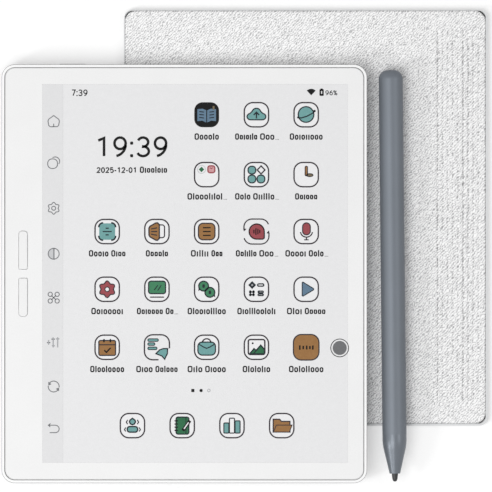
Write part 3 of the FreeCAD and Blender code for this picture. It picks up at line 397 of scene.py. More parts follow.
def buildCornerShadeFoam():
    low, high = (np.array(corner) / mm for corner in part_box("cover_skin"))
    radius, points, faces = leather["cornerMm"], [], []
    levels = (high[2] - cornerShadeFoam["belowTopMm"], low[2] + cornerShadeFoam["aboveFootMm"])
    turns = [math.radians(cornerShadeFoam["fromDegrees"] + cornerShadeFoam["overDegrees"] * i
                          / cornerShadeFoam["steps"]) for i in range(cornerShadeFoam["steps"] + 1)]
    sides = ((radius + cornerShadeFoam["outMm"], turns), (radius + cornerShadeFoam["inMm"], turns[::-1]))
    for sideX, sideY in ((-1, -1), (1, -1), (-1, 1), (1, 1)):
        centreX = high[0] - radius if sideX > 0 else low[0] + radius
        centreY = high[1] - radius if sideY > 0 else low[1] + radius
        loop = [(centreX + sideX * r * math.cos(a), centreY + sideY * r * math.sin(a))
                for r, angles in sides for a in angles]
        loop = loop if sideX * sideY > 0 else loop[::-1]
        faces += prismFaces(len(points), len(loop))
        points += [(x * mm, y * mm, z * mm) for z in levels for x, y in loop]
    shadeFoam = addMesh("corner_shade_foam", points, faces)
    shadeFoam.data.materials.append(slotFinish["gasket_foam"])
    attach(shadeFoam, "cover")


buildCornerShadeFoam()

# White split leather, embossed with a leaning grain: chalky crests, low sheen, and grey creases
# that are painted shade, darker the deeper they lie.
# Real creases are 0.4 mm wide, drawn twice as wide so that they show.
grain = {
    "creaseMm": 0.86, "knotMm": 0.75, "distortion": 5.6, "poreMm": 0.5, "poreShare": 0.4,
    "warpMm": 0.8, "warpEveryMm": 2.4, "bumpMm": 0.06,
    "valleyMm": (0.4, 0.02), "paintedShadeRange": (-0.36, 0.03),  # from the deepest to the crest
    "shades": [(0.1, "#A0A0A1"), (0.3, "#D0D0D1"), (0.47, "#F1F1F1"), (0.63, "#FFFFFF")],
}
embossedLeather, tree, shader = startMaterial("embossedLeather", {
    "IOR": 1.45, "Specular IOR Level": 0.3, "Roughness": 0.6})
place = addNode(tree, "TexCoord", {}, {}).outputs["Object"]
swirl = addNode(tree, "TexNoise", {}, {
    "Vector": place, "Scale": 1 / (grain["warpEveryMm"] * mm), "Detail": 1.0})
centred = addNode(tree, "VectorMath", {"operation": "SUBTRACT"}, {
    0: swirl.outputs["Color"], 1: (0.5, 0.5, 0.5)})
pushed = addNode(tree, "VectorMath", {"operation": "MULTIPLY_ADD"}, {
    0: centred.outputs[0], 1: (grain["warpMm"] * mm * 2,) * 3, 2: place})
leaning = addNode(tree, "Mapping", {"vector_type": "TEXTURE"}, {
    "Vector": pushed.outputs[0], "Rotation": (0, 0, math.radians(leather["leanDegrees"]))})
waveScale = math.pi / 10 / (grain["creaseMm"] * mm)  # at scale 1 a wave is pi / 10 m long
creases = addNode(tree, "TexWave", {"wave_type": "BANDS", "bands_direction": "Y"}, {
    "Vector": leaning.outputs[0], "Scale": waveScale, "Distortion": grain["distortion"],
    "Detail": 1.0, "Detail Scale": 1 / (waveScale * grain["knotMm"] * mm)})
pores = addNode(tree, "TexNoise", {}, {
    "Vector": place, "Scale": 1 / (grain["poreMm"] * mm), "Detail": 1.0})
height = addNode(tree, "SeparateXYZ", {}, {0: place})
# Painted shade: the deeper the skin lies below its crest, the darker its colour.
paintedValleyShade = addNode(tree, "MapRange", {}, {
    0: height.outputs[2], 1: leatherTop - grain["valleyMm"][0] * mm,
    2: leatherTop - grain["valleyMm"][1] * mm, 3: grain["paintedShadeRange"][0],
    4: grain["paintedShadeRange"][1]})
# Painted shade: the ramp's greys fall in the creases of the grain, as if they were shaded.
mixed = addNode(tree, "Mix", {"data_type": "FLOAT"}, {
    0: grain["poreShare"], 2: creases.outputs["Fac"], 3: pores.outputs["Fac"]})
shade = addNode(tree, "Math", {"operation": "ADD"}, {0: mixed.outputs[0], 1: paintedValleyShade.outputs[0]})
ramp = addNode(tree, "ValToRGB", {}, {0: shade.outputs[0]})
tree.links.new(setRamp(ramp, grain["shades"]), shader.inputs["Base Color"])
crease = addNode(tree, "Bump", {}, {
    "Strength": 1.0, "Distance": grain["bumpMm"] * mm, "Height": mixed.outputs[0]})
tree.links.new(crease.outputs[0], shader.inputs["Normal"])
leatherSkin.data.materials.append(embossedLeather)
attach(leatherSkin, "cover")
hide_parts("cover_skin")
print("leather:", len(leatherSkin.data.polygons), "faces")


# The drawings on the display and the strip are thin prisms of ink, in two shades each.
inkNames = {
    "line": ("#2F2A2F", "#3A353A"), "black": ("#060607", "#0E0E0F"), "text": ("#0E0E10", "#18181A"),
    "thin": ("#3E3F42", "#494A4D"), "grey": ("#9C9DA0", "#A8A9AC"), "pale": ("#C4C5C7", "#CDCED0"),
    "teal": ("#6B9C9B", "#76A7A5"), "brown": ("#936A40", "#9E754A"),
    "green": ("#3E7B58", "#498663"), "pine": ("#2B6544", "#36704E"),
    "red": ("#94464C", "#9F5157"), "rose": ("#CB979A", "#D4A2A5"), "slate": ("#1B2228", "#272E34"),
    "sky": ("#5D778D", "#688297"), "paper": ("#EAEAEB", "#F0F0F1"),
    "button": ("#6A6B6D", "#757678"), "strip": ("#727376", "#7D7E81"),
    # edge is painted shade for the bezel's seam.
    "edge": ("#DEDEDE", "#E6E6E6"), "faint": ("#A2A3A6", "#ACADB0"), "gold": ("#71654E", "#7C7058"),
}
# Pigment in the same paper: each ink has the paper's dither and frost in its own shades.
inks = {name: inkFinish("ink" + name.capitalize(), *pair) for name, pair in inkNames.items()}
inkOrder = list(inks)
inkTopMm = lensHigh.z / mm
inkFloorMm = inkTopMm - 0.01  # prisms start just inside the lens
corners = ((1, 1), (-1, 1), (-1, -1), (1, -1))  # signs of x and y, anticlockwise
mitre = {"leastCosine": 0.35, "longest": 2.2}  # how far a line's sharp corners may reach


def newDrawing(x, y):  # its middle, in mm from the display's corner
    return {"x": lensLow.x / mm + x, "y": lensHigh.y / mm - y,
            "points": [], "faces": [], "inks": []}


def addFaces(drawing, ink, faces):
    drawing["faces"] += faces
    drawing["inks"] += [inkOrder.index(ink)] * len(faces)


def addPoints(drawing, points, level):  # levels are hundredths of a mm above the lens
    height = inkFloorMm if level is None else inkTopMm + level / 100
    drawing["points"] += [(drawing["x"] + x, drawing["y"] + y, height) for x, y in points]


def signedArea(loop):
    return sum(a[0] * b[1] - b[0] * a[1] for a, b in zip(loop, loop[1:] + loop[:1])) / 2


def fill(drawing, ink, loop, level=2):  # a solid patch of ink
    loop = list(loop) if signedArea(loop) > 0 else list(reversed(loop))
    addFaces(drawing, ink, prismFaces(len(drawing["points"]), len(loop)))
    addPoints(drawing, loop, level)
    addPoints(drawing, loop, None)


def line(drawing, ink, path, width=0.34, closed=False, level=3):  # a drawn line of even width
    n = len(path)
    left, right = [], []
    for i, (x, y) in enumerate(path):
        before = path[i - 1] if closed or i else None
        after = path[(i + 1) % n] if closed or i < n - 1 else None
        dirs = []
        for a, b in ((before, (x, y)), ((x, y), after)):
            if a is not None and b is not None:
                length = math.hypot(b[0] - a[0], b[1] - a[1]) or 1
                dirs.append(((b[0] - a[0]) / length, (b[1] - a[1]) / length))
        dx, dy = sum(d[0] for d in dirs), sum(d[1] for d in dirs)
        size = math.hypot(dx, dy) or 1
        dx, dy = dx / size, dy / size
        cosine = max(abs(dx * dirs[0][0] + dy * dirs[0][1]), mitre["leastCosine"])
        reach = min(1 / cosine, mitre["longest"]) * width / 2
        left.append((x - dy * reach, y + dx * reach))
        right.append((x + dy * reach, y - dx * reach))
    start = len(drawing["points"])
    for side, height in ((left, level), (right, level), (left, None), (right, None)):
        addPoints(drawing, side, height)
    made = []
    for i in range(n if closed else n - 1):
        a, b = start + i, start + (i + 1) % n
        c, d, e, f, g, h = a + n, b + n, a + 2 * n, b + 2 * n, a + 3 * n, b + 3 * n
        made += [[c, d, b, a], [e, f, h, g], [a, b, f, e], [g, h, d, c]]
    if not closed:
        last = start + n - 1
        made += [[start, start + 2 * n, start + 3 * n, start + n],
                 [last + n, last + 3 * n, last + 2 * n, last]]
    addFaces(drawing, ink, made)


def patch(drawing, ink, loop, width=0.46, edge="slate", level=2):  # a solid patch and its outline
    fill(drawing, ink, loop, level)
    line(drawing, edge, loop, width, True, level + 1)


def arc(x, y, wide, tall, start, end, steps=16):  # degrees, anticlockwise from the right
    angles = [math.radians(start + (end - start) * i / steps) for i in range(steps + 1)]
    return [(x + wide * math.cos(a), y + tall * math.sin(a)) for a in angles]


def disc(x, y, wide, tall=None, steps=24):
    return arc(x, y, wide, tall or wide, 0, 360 * (steps - 1) / steps, steps - 1)


def rounded(x, y, width, height, radius, steps=6):
    w, h = width / 2 - radius, height / 2 - radius
    loop = []
    for i, (sx, sy) in enumerate(corners):
        loop += arc(x + sx * w, y + sy * h, radius, radius, 90 * i, 90 * i + 90, steps)
    return loop


def finishDrawing(drawing, name):
    used = sorted(set(drawing["inks"]))
    shown = addMesh(name, [(x * mm, y * mm, z * mm) for x, y, z in drawing["points"]],
                    drawing["faces"])
    for i in used:
        shown.data.materials.append(inks[inkOrder[i]])
    shown.data.polygons.foreach_set("material_index", [used.index(i) for i in drawing["inks"]])
    shown.data.update()
    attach(shown, "tablet")


icons = {
    "sizeMm": 9.12, "cornerMm": 3.2, "lineMm": 0.52,
    "firstMm": 16.6, "pitchMm": 18.7,  # columns, from the display's left
    "rowsMm": [11.45, 33.95, 55.35, 77.05, 98.85],  # rows, from its top
    "dockMm": 128.3, "dockFirstMm": 26.1,
    "labelDropMm": 9.4,  # from an icon's middle to the foot of its caption
}


def frameLine(d):  # the rounded square that most icons sit in
    loop = rounded(0, 0, icons["sizeMm"], icons["sizeMm"], icons["cornerMm"], 8)
    fill(d, "paper", loop, 1)
    line(d, "line", loop, icons["lineMm"], True)


def cornerArc(radius, quarter, start, end):  # one corner of an outline that is left open
    sx, sy = corners[quarter]
    return arc(sx * (4.7 - radius), sy * (4.7 - radius), radius, radius, start, end, 8)


def drawBook(d):
    fill(d, "black", rounded(0, 0, 9.3, 9.4, 3.1, 8), 1)
    for side in (-1, 1):  # an open book, a page each side of its fold
        fill(d, "sky", [(side * 0.18, -2.9), (side * 0.18, 1.7), (side * 1.6, 2.3),
                        (side * 3.5, 2.1), (side * 3.5, -2.4), (side * 1.7, -2.2)])
        for y in (1.0, -0.1, -1.2):
            line(d, "black", [(side * 1.0, y), (side * 2.8, y + 0.2)], 0.34, level=4)
    fill(d, "gold", rounded(2.6, 2.6, 0.7, 1.4, 0.1, 2), 5)


def drawCloud(d):
    loop = arc(-2.2, -0.7, 1.35, 1.2, 100, 270, 8) + arc(2.2, -0.7, 1.35, 1.2, -90, 80, 8) \
        + arc(0.0, 0.6, 1.75, 1.85, 20, 160, 10)
    patch(d, "teal", loop)
    line(d, "slate", [(0, -1.4), (0, 0.9)], 0.52, level=4)
    line(d, "slate", [(-1.05, -0.1), (0, 0.95), (1.05, -0.1)], 0.5, level=5)


def drawPlanet(d):
    patch(d, "teal", disc(-0.05, 0.1, 2.95))
    line(d, "slate", [(-3.2, -1.1), (-1.8, -1.2), (0.4, -0.5), (2.4, 0.6), (3.3, 1.4)], 0.46,
         level=4)
    fill(d, "slate", disc(-3.0, -1.0, 0.42), 4)
    fill(d, "slate", disc(3.15, 1.4, 0.45), 4)


def drawFolder(d):
    line(d, "pale", disc(-1.95, 1.95, 1.5), 0.32, True, 2)
    fill(d, "pine", [(-1.95, 3.0), (-3.0, 1.95), (-1.95, 0.9), (-0.9, 1.95)], 3)
    patch(d, "rose", rounded(1.75, 2.0, 2.6, 2.6, 0.8), 0.5, "red")
    line(d, "red", [(1.2, 2.6), (1.75, 2.2), (2.3, 2.6)], 0.3, level=4)


def drawDots(d):
    for x, y in ((-1.7, 1.7), (-1.7, -1.65), (1.7, -1.65)):
        patch(d, "teal", rounded(x, y, 2.9, 2.9, 1.25))
    line(d, "line", [(1.75, 3.25), (0.3, 1.75), (1.75, 0.25), (3.2, 1.75)], 0.52, True)


def drawClock(d):
    patch(d, "brown", rounded(0.05, 1.35, 0.9, 3.6, 0.4), 0.36, "line")
    patch(d, "gold", disc(1.35, -0.2, 1.2, 0.55), 0.36, "line")


def drawScan(d):
    fill(d, "teal", rounded(0, 0, 6.0, 6.2, 1.6))
    for i, (sx, sy) in enumerate(corners):
        line(d, "slate", arc(sx * 1.6, sy * 1.7, 1.55, 1.55, 90 * i - 4, 90 * i + 94, 8), 0.6,
             level=4)
    for x, y, width in ((1.7, 0, 0.42), (0.6, 1.25, 0.46), (0.6, -1.25, 0.46)):
        line(d, "slate", [(-x, y), (x, y)], width)


def drawDocument(d):
    line(d, "line", rounded(1.35, 0.1, 3.0, 4.8, 0.9), 0.46, True, 2)
    loop = [(-3.0, 1.3), (-2.6, 2.0), (-0.5, 3.2), (0.2, 3.3), (0.9, 2.6), (0.9, -2.6), (0.2, -3.3),
            (-0.5, -3.2), (-2.6, -2.0), (-3.0, -1.3)]
    patch(d, "brown", loop, 0.5, "line", 3)
    for y in (1.4, 0.0, -1.4):
        line(d, "line", [(-2.2, y * 0.7), (0.1, y)], 0.44, level=5)


def drawList(d):
    patch(d, "brown", rounded(0, 0, 6.2, 6.2, 1.7), edge="line")
    for y in (1.45, 0, -1.45):
        line(d, "black", [(-1.4, y), (1.5, y)], 0.46, level=4)


def drawVoice(d):
    line(d, "line", cornerArc(3.0, 0, 20, 90) + cornerArc(3.0, 1, 90, 180) + [(-4.7, 0.5)], 0.46)
    line(d, "line", cornerArc(3.0, 2, 195, 270) + cornerArc(3.0, 3, 270, 360) + [(4.7, -0.6)],
         0.46)
    fill(d, "line", [(-4.9, 1.2), (-3.7, 1.0), (-4.7, 0.0)])
    fill(d, "line", [(4.95, -0.9), (3.8, -0.6), (4.7, 0.5)])
    loop = arc(0.1, 0, 2.85, 2.85, 0, 270, 20) + [(2.4, -2.85), (2.95, -2.4)]
    patch(d, "red", loop, edge="black")
    for x, y in ((-0.95, 0.7), (-0.2, 1.25), (0.55, 1.0), (1.25, 0.6)):
        line(d, "black", [(x, -y), (x, y)], 0.42, level=4)


def drawMicrophone(d):
    patch(d, "red", rounded(0.1, 1.0, 2.9, 4.5, 1.42), 0.42, "line")
    line(d, "line", arc(0.1, 0.2, 2.3, 2.3, 190, 350, 14), 0.46)
    line(d, "line", [(0.1, -2.1), (0.1, -3.0)], 0.46)
    line(d, "line", [(-0.75, -3.1), (0.95, -3.1)], 0.42)


def drawGear(d):
    loop = [(r * math.cos(a), r * math.sin(a)) for a, r in
            ((math.radians(i * 10 + 90), 2.75 + 0.42 * math.cos(math.radians(i * 60)))
             for i in range(36))]
    patch(d, "red", loop, 0.42, "line")
    fill(d, "paper", disc(0, 0, 0.75), 4)
    line(d, "line", disc(0, 0, 0.85), 0.36, True, 5)


def drawMonitor(d):
    patch(d, "green", rounded(0.05, 0.7, 6.4, 4.7, 0.9))
    line(d, "slate", [(-1.0, -0.3), (0.3, 1.5)], 0.36, level=4)
    line(d, "slate", [(0.3, -0.5), (1.6, 1.5)], 0.36, level=4)
    line(d, "line", [(-2.6, -2.95), (2.7, -2.95)], 0.46)


def drawChat(d):
    for x, y, tail in ((-1.15, 1.2, -1), (1.2, -1.15, 1)):
        fill(d, "slate", [(x + tail * 0.6, y - 1.0), (x + tail * 2.0, y - 1.9),
                          (x + tail * 1.9, y - 0.2)])
        patch(d, "green", disc(x, y, 1.85), level=3)
        fill(d, "slate", rounded(x, y, 0.9, 1.3, 0.3), 5)


def drawCalculator(d):
    fill(d, "slate", [(-1.6, 3.1), (-3.1, 1.6), (-1.6, 0.1), (-0.1, 1.6)])
    fill(d, "grey", rounded(-1.6, 1.6, 0.7, 0.7, 0.2, 2), 3)
    line(d, "slate", rounded(1.6, 1.6, 2.3, 0.85, 0.4), 0.5, True)
    for x in (-2.3, -1.1):
        line(d, "slate", [(x, -2.6), (x, -0.4)], 0.62)
    for y in (-1.0, -2.05):
        line(d, "slate", [(-2.8, y), (-0.6, y)], 0.55)
        line(d, "slate", rounded(1.6, y, 1.9, 0.6, 0.25), 0.5, True)


def drawPlay(d):
    loop = [(-1.5, 2.5), (-1.5, -2.4), (-1.2, -2.6), (2.8, -0.2), (2.8, 0.25), (-1.2, 2.7)]
    patch(d, "sky", loop, 0.36)


def drawCalendar(d):
    patch(d, "brown", rounded(0, -0.25, 6.3, 5.6, 0.6), edge="line")
    line(d, "line", [(-3.0, 0.95), (3.0, 0.95)], 0.42, level=4)
    for x in (-1.2, 1.2):
        fill(d, "black", rounded(x, 2.5, 0.6, 1.3, 0.28), 4)
    line(d, "black", [(-1.1, -1.1), (-0.3, -1.9), (1.3, -0.2)], 0.52, level=4)


def drawGuide(d):
    line(d, "line", [(4.7, -0.4), (4.7, 1.6)] + cornerArc(3.1, 0, 0, 90)[1:]
         + cornerArc(3.1, 1, 90, 180) + cornerArc(3.1, 2, 180, 270) + [(0.6, -4.7)],
         icons["lineMm"])
    for y, w in ((2.7, 3.9), (1.2, 2.6), (-0.4, 3.4)):
        patch(d, "teal", rounded(-3.4 + w / 2, y, w, 0.95, 0.42), 0.36)
    patch(d, "teal", [(4.0, -0.5), (3.9, -2.4), (2.9, -4.5), (1.9, -3.3), (-0.4, -2.4),
                      (1.0, -1.0), (2.4, -0.5)], level=3)


def drawBag(d):
    line(d, "line", arc(0.0, 1.7, 1.6, 1.5, 0, 180, 12), 0.52)
    patch(d, "teal", rounded(0, -0.5, 6.6, 4.9, 1.6))
    line(d, "slate", [(-3.0, 1.2), (-1.2, 0.1), (0, -0.4), (1.2, 0.1), (3.0, 1.2)], 0.42, level=4)


def drawLandscape(d):
    line(d, "line", rounded(0.05, 0.1, 6.2, 5.6, 0.7), 0.56, True)
    loop = [(-2.6, -2.5), (-0.9, -0.5), (-0.1, -1.2), (1.6, 0.8), (3.0, -0.8), (3.0, -2.5)]
    fill(d, "pine", loop)
    line(d, "slate", loop, 0.5, True, 4)
    line(d, "slate", [(-1.1, -2.4), (0.3, -0.9)], 0.4, level=5)
    fill(d, "black", disc(-1.4, 1.5, 0.36))


def drawMark(d):
    fill(d, "brown", rounded(0, 0, 9.8, 9.8, 3.1, 8), 1)
    line(d, "line", rounded(0, 0, 9.6, 9.6, 3.0, 8), 0.46, True)
    for x, h in ((-2.4, 1.7), (-1.1, 1.3), (0.2, 1.5), (1.4, 1.2), (2.5, 1.6)):
        fill(d, "black", rounded(x, -0.1, 0.6, h, 0.2), 3)


def drawContact(d):
    patch(d, "teal", [(0, 2.75), (-0.9, 2.1), (-1.15, 1.4), (-0.75, 0.65), (0, 0.35),
                      (0.75, 0.65), (1.15, 1.4), (0.9, 2.1)], 0.52)
    patch(d, "teal", rounded(0, -1.4, 3.9, 2.1, 0.9), 0.52)
    for side in (-1, 1):
        line(d, "line", [(side * 1.8, 2.2), (side * 2.3, 1.3), (side * 1.8, 0.5)], 0.42)
        line(d, "line", [(side * 2.5, -0.7), (side * 3.0, -1.5), (side * 2.5, -2.2)], 0.42)


def drawNotebook(d):
    patch(d, "pine", rounded(0.1, 0, 4.8, 6.4, 0.7))
    for y in (-1.8, -0.6, 0.6, 1.8):
        line(d, "black", [(-2.9, y), (-1.6, y)], 0.46, level=4)
    line(d, "slate", [(1.4, -3.1), (1.4, 3.1)], 0.3, level=3)
    line(d, "black", [(0.2, -1.9), (2.9, 1.9)], 1.25, level=4)
    line(d, "paper", [(0.7, -1.2), (2.4, 1.2)], 0.42, level=5)


def drawBooks(d):
    for x, h, ink in ((-2.1, 3.8, "teal"), (0.0, 5.6, "paper"), (2.1, 4.6, "teal")):
        patch(d, ink, rounded(x, -2.8 + h / 2, 1.9, h, 0.3), 0.42)


def drawFiles(d):
    patch(d, "brown", [(-3.2, -2.4), (-3.2, 2.4), (-0.8, 2.4), (-0.1, 1.6), (3.1, 1.6),
                       (3.1, -2.4)], edge="line")
    patch(d, "brown", [(-3.1, -2.4), (-2.0, 0.2), (3.9, 0.2), (2.9, -2.4)], 0.32, "line", 4)


grid = [
    [None, None, drawBook, drawCloud, drawPlanet],
    [None, None, drawFolder, drawDots, drawClock],
    [drawScan, drawDocument, drawList, drawVoice, drawMicrophone],
    [drawGear, drawMonitor, drawChat, drawCalculator, drawPlay],
    [drawCalendar, drawGuide, drawBag, drawLandscape, drawMark],
]
dock = (drawContact, drawNotebook, drawBooks, drawFiles)
unframed = (drawBook, drawVoice, drawGuide, drawMark)  # these bring their own outline
labelWidths = [  # millimetres of each word under an icon, in the same order
    [None, None, [9.4], [8.6, 5.6, "dots"], [12.6]],
    [None, None, [13.4, "dots"], [6.0, 8.2, "dots"], [8.6]],
    [[7.6, 5.6], [8.6], [6.9, 4.4], [8.0, 5.6, "dots"], [8.0, 5.8, "dots"]],
    [[12.2], [10.0, 3.2, "dots"], [14.6], [14.6], [5.9, 8.0]],
    [[13.0], [6.4, 8.6], [5.8, 8.0], [10.6], [13.2]],
]

# Captions are rows of small rings and ticks with the texture of text, which say nothing.
caption = {
    "tallMm": 1.92, "strokeMm": 0.49, "riseMm": 0.5, "gapMm": 0.8, "betweenMm": 0.26,
    "firstMm": 1.95, "ringMm": 1.66, "tickMm": 0.9, "ringShare": 0.66, "tallTickShare": 0.84,
    "dotsMm": 1.3, "dotMm": 0.26, "dotPitchMm": 0.5,
}


def drawWords(d, widths, y):
    stroke, rise, gap = caption["strokeMm"], caption["riseMm"], caption["gapMm"]
    gaps = gap * (len([w for w in widths if w != "dots"]) - 1)
    total = sum(caption["dotsMm"] if w == "dots" else w for w in widths) + gaps
    left = -total / 2
    for width in widths:
        if width == "dots":
            for i in range(3):
                fill(d, "text", rounded(left - 0.35 + i * caption["dotPitchMm"],
                                        y + caption["dotMm"] / 2, caption["dotMm"],
                                        caption["dotMm"], 0.08, 2))
            continue
        marks = [("ring", caption["firstMm"], rise)]  # kind, width, how far it rises
        while sum(m[1] for m in marks) < width - 0.5:
            pick = rng.random()
            marks.append(("ring", caption["ringMm"], 0.0) if pick < caption["ringShare"] else
                         ("tick", caption["tickMm"],
                          rise if pick < caption["tallTickShare"] else 0.0))
        scale = width / sum(m[1] for m in marks)
        for kind, share, extra in marks:
            wide, high = share * scale, caption["tallMm"] + extra
            middle = left + share * scale / 2
            if kind == "ring":
                wide -= caption["betweenMm"]
                line(d, "text", rounded(middle, y + high / 2, wide - stroke, high - stroke,
                                        0.4, 3), stroke, True)
            else:
                fill(d, "text", rounded(middle, y + high / 2, stroke, high, 0.1, 2), 3)
            left += share * scale
        left += gap


rng = random.Random(51)
for row, drawings in enumerate(grid):
    for column, draw in enumerate(drawings):
        if not draw:
            continue
        drawing = newDrawing(icons["firstMm"] + icons["pitchMm"] * column, icons["rowsMm"][row])
        if draw not in unframed:
            frameLine(drawing)
        draw(drawing)
        drawWords(drawing, labelWidths[row][column], -icons["labelDropMm"])
        finishDrawing(drawing, "icon_%d_%d" % (row + 1, column + 1))
for i, draw in enumerate(dock):
    drawing = newDrawing(icons["dockFirstMm"] + icons["pitchMm"] * i, icons["dockMm"])
    frameLine(drawing)
    draw(drawing)
    finishDrawing(drawing, "dock_%d" % (i + 1))
print("icons drawn")

status = {  # text, middle across and down, height, room for one numeral, line width, ink
    "clock_numbers": ("19:39", 25.8, 23.5, 7.95, 6.5, 0.98, "black"),
    "status_time": ("7:39", 6.2, 3.2, 2.5, 1.89, 0.38, "text"),
    "date_numbers": ("2025-12-01", 20.2, 32.25, 2.2, 1.66, 0.42, "text"),
    "battery_percent": ("96%", 100.8, 3.2, 1.9, 1.55, 0.3, "thin"),
}
ringTop, ringLow = disc(0, 0.69, 0.27, 0.31), disc(0, 0.31, 0.27, 0.31)
numerals = {  # centre lines one high, and whether each closes
    "0": [(disc(0, 0.5, 0.27, 0.5, 32), True)],
    "1": [([(-0.22, 0.84), (0.06, 0.97), (0.06, 0.0)], False)],
    "2": [(arc(0, 0.73, 0.26, 0.27, 170, -35, 14) + [(-0.25, 0.0), (0.29, 0.0)], False)],
    "3": [(arc(-0.01, 0.755, 0.25, 0.245, 160, -88, 14)
           + arc(-0.01, 0.26, 0.28, 0.26, 88, -160, 16), False)],
    "5": [([(0.25, 1.0), (-0.18, 1.0), (-0.22, 0.54)]
           + arc(0, 0.32, 0.27, 0.32, 128, -150, 16), False)],
    "6": [(ringLow, True), (arc(0.27, 0.36, 0.54, 0.64, 100, 176, 10), False)],
    "7": [([(-0.27, 1.0), (0.27, 1.0), (-0.1, 0.0)], False)],
    "9": [(ringTop, True), (arc(-0.27, 0.64, 0.54, 0.64, -80, -4, 10), False)],
    "-": [([(-0.17, 0.38), (0.17, 0.38)], False)],
    "%": [(disc(-0.2, 0.82, 0.13, 0.18, 16), True), (disc(0.2, 0.18, 0.13, 0.18, 16), True),
          ([(0.2, 1.0), (-0.2, 0.0)], False)],
}
narrowShare = {":": 0.34, "-": 0.62}  # of the room that a numeral takes
colonDots, numeralSpread = (0.02, 0.7), 1.2


def drawNumbers(name, text, x, y, tall, pitch, stroke, ink):  # plain numerals in even lines
    d = newDrawing(x, y)
    left = -sum(narrowShare.get(c, 1.0) for c in text) * pitch / 2
    high = tall - stroke
    for character in text:
        middle = left + narrowShare.get(character, 1.0) * pitch / 2
        left += narrowShare.get(character, 1.0) * pitch
        if character == ":":
            for dot in colonDots:
                fill(d, ink, rounded(middle, (dot - 0.5) * high, stroke * 1.2, stroke * 1.2,
                                     stroke * 0.35, 3), 3)
            continue
        for path, closed in numerals[character]:
            line(d, ink, [(middle + px * pitch * numeralSpread, (py - 0.5) * high)
                          for px, py in path], stroke, closed)
    finishDrawing(d, name)


for name, values in status.items():
    drawNumbers(name, *values)

drawing = newDrawing(34.0, 32.25)  # the word after the date
drawWords(drawing, [10.5], -1.08)
finishDrawing(drawing, "date_word")

drawing = newDrawing(93.3, 3.0)  # signal fan and battery
fill(drawing, "black", [(0, -1.15)] + arc(0, -1.15, 2.45, 2.45, 47, 133, 8))
fill(drawing, "black", rounded(3.9, -0.1, 1.6, 2.5, 0.3))
fill(drawing, "paper", rounded(3.9, -0.05, 0.42, 1.1, 0.2, 2), 3)
fill(drawing, "black", rounded(3.9, 1.2, 0.8, 0.45, 0.1, 2))
finishDrawing(drawing, "status_signs")

drawing = newDrawing(51.9, 115.1)  # which page of the display is shown
fill(drawing, "text", rounded(-3.1, 0, 1.2, 1.2, 0.15, 2))
fill(drawing, "black", disc(0, 0, 0.62))
line(drawing, "grey", disc(2.9, 0, 0.5), 0.24, True)
finishDrawing(drawing, "page_dots")

# Painted shade: a fine grey line just inside the bezel's seam, which darkens the seam.
panelLow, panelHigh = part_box("front_panel")
seamShadeLine = {"insetMm": 0.06, "lineMm": 0.18, "cornerMm": 3.7}
drawing = newDrawing(((panelLow.x + panelHigh.x) / 2 - lensLow.x) / mm,
                     (lensHigh.y - (panelLow.y + panelHigh.y) / 2) / mm)
panelWide = (panelHigh.x - panelLow.x) / mm - 2 * seamShadeLine["insetMm"]
panelLong = (panelHigh.y - panelLow.y) / mm - 2 * seamShadeLine["insetMm"]
line(drawing, "edge", rounded(0, 0, panelWide, panelLong, seamShadeLine["cornerMm"], 8),
     seamShadeLine["lineMm"], True, 2)
finishDrawing(drawing, "bezel_seam_shade")

drawing = newDrawing(104.0, 99.1)  # the floating round key
fill(drawing, "button", disc(0, 0, 2.65, steps=40))
line(drawing, "text", disc(0, 0, 3.35, steps=48), 0.3, True)
finishDrawing(drawing, "floating_key")

strip = {  # the shortcut strip's signs, rightMm to the right of its middle
    "fromTopMm": [13.9, 29.5, 46.6, 63.7, 80.2, 97.0, 113.6, 129.4], "lineMm": 0.34,
    "rightMm": 0.35}


def drawHome(d, w):
    line(d, "strip", [(0, 2.15), (-1.9, 0.75), (-2.15, 0.1), (-1.85, -1.6), (-1.3, -2.05),
                      (1.3, -2.05), (1.85, -1.6), (2.15, 0.1), (1.9, 0.75)], w, True)
    line(d, "strip", [(0, -0.9), (0, -2.0)], w)


def drawPair(d, w):
    line(d, "strip", rounded(-0.4, -0.35, 3.7, 3.6, 1.6), w, True)
    line(d, "strip", arc(0.55, 0.55, 1.7, 1.65, -35, 125, 12), w)


def drawCog(d, w):
    for size, wave in ((1.95, 0.3), (0.75, 0.0)):
        reaches = [(a, size + wave * math.cos(math.radians(6 * a))) for a in range(0, 360, 10)]
        line(d, "strip", [(r * math.sin(math.radians(a)), r * math.cos(math.radians(a)))
                          for a, r in reaches], w, True)


def drawHalfDisc(d, w):
    line(d, "strip", disc(0, 0, 2.05, steps=32), w, True)
    fill(d, "pale", arc(0, 0, 1.9, 1.9, 90, 270, 14), 1)
    line(d, "strip", [(0.1, -2.0), (0.1, 2.0)], w * 1.2)


def drawClover(d, w):
    for sx, sy in corners:
        line(d, "strip", disc(sx * 1.3, sy * 1.25, 0.8), w, True)
        line(d, "strip", [(0, 0), (sx * 0.8, sy * 0.75)], w)


def drawSliders(d, w):
    for x, y, low, high in ((-1.9, -0.1, -0.9, 0.9), (-0.2, 1.2, -1.9, 1.9), (1.5, 1.3, -1.9, 1.9)):
        line(d, "faint", [(x, low), (x, high)], w * 1.3)
        fill(d, "strip" if x < 0 else "faint", rounded(x, y, 1.3, 0.5, 0.15, 2))
    fill(d, "faint", rounded(-0.1, -1.3, 1.2, 0.5, 0.15, 2))


def drawRefresh(d, w):
    for turn in (0, 180):
        line(d, "strip", arc(0, 0, 2.05, 2.05, turn - 8, turn + 138, 14), w)
        tip = arc(0, 0, 2.05, 2.05, turn + 138, turn + 170, 2)
        side = 1 if turn else -1
        fill(d, "strip", [(tip[0][0] - 0.75 * side, tip[0][1] + 0.5 * side), tip[2],
                          (tip[0][0] + 0.5 * side, tip[0][1] - 0.45 * side)])


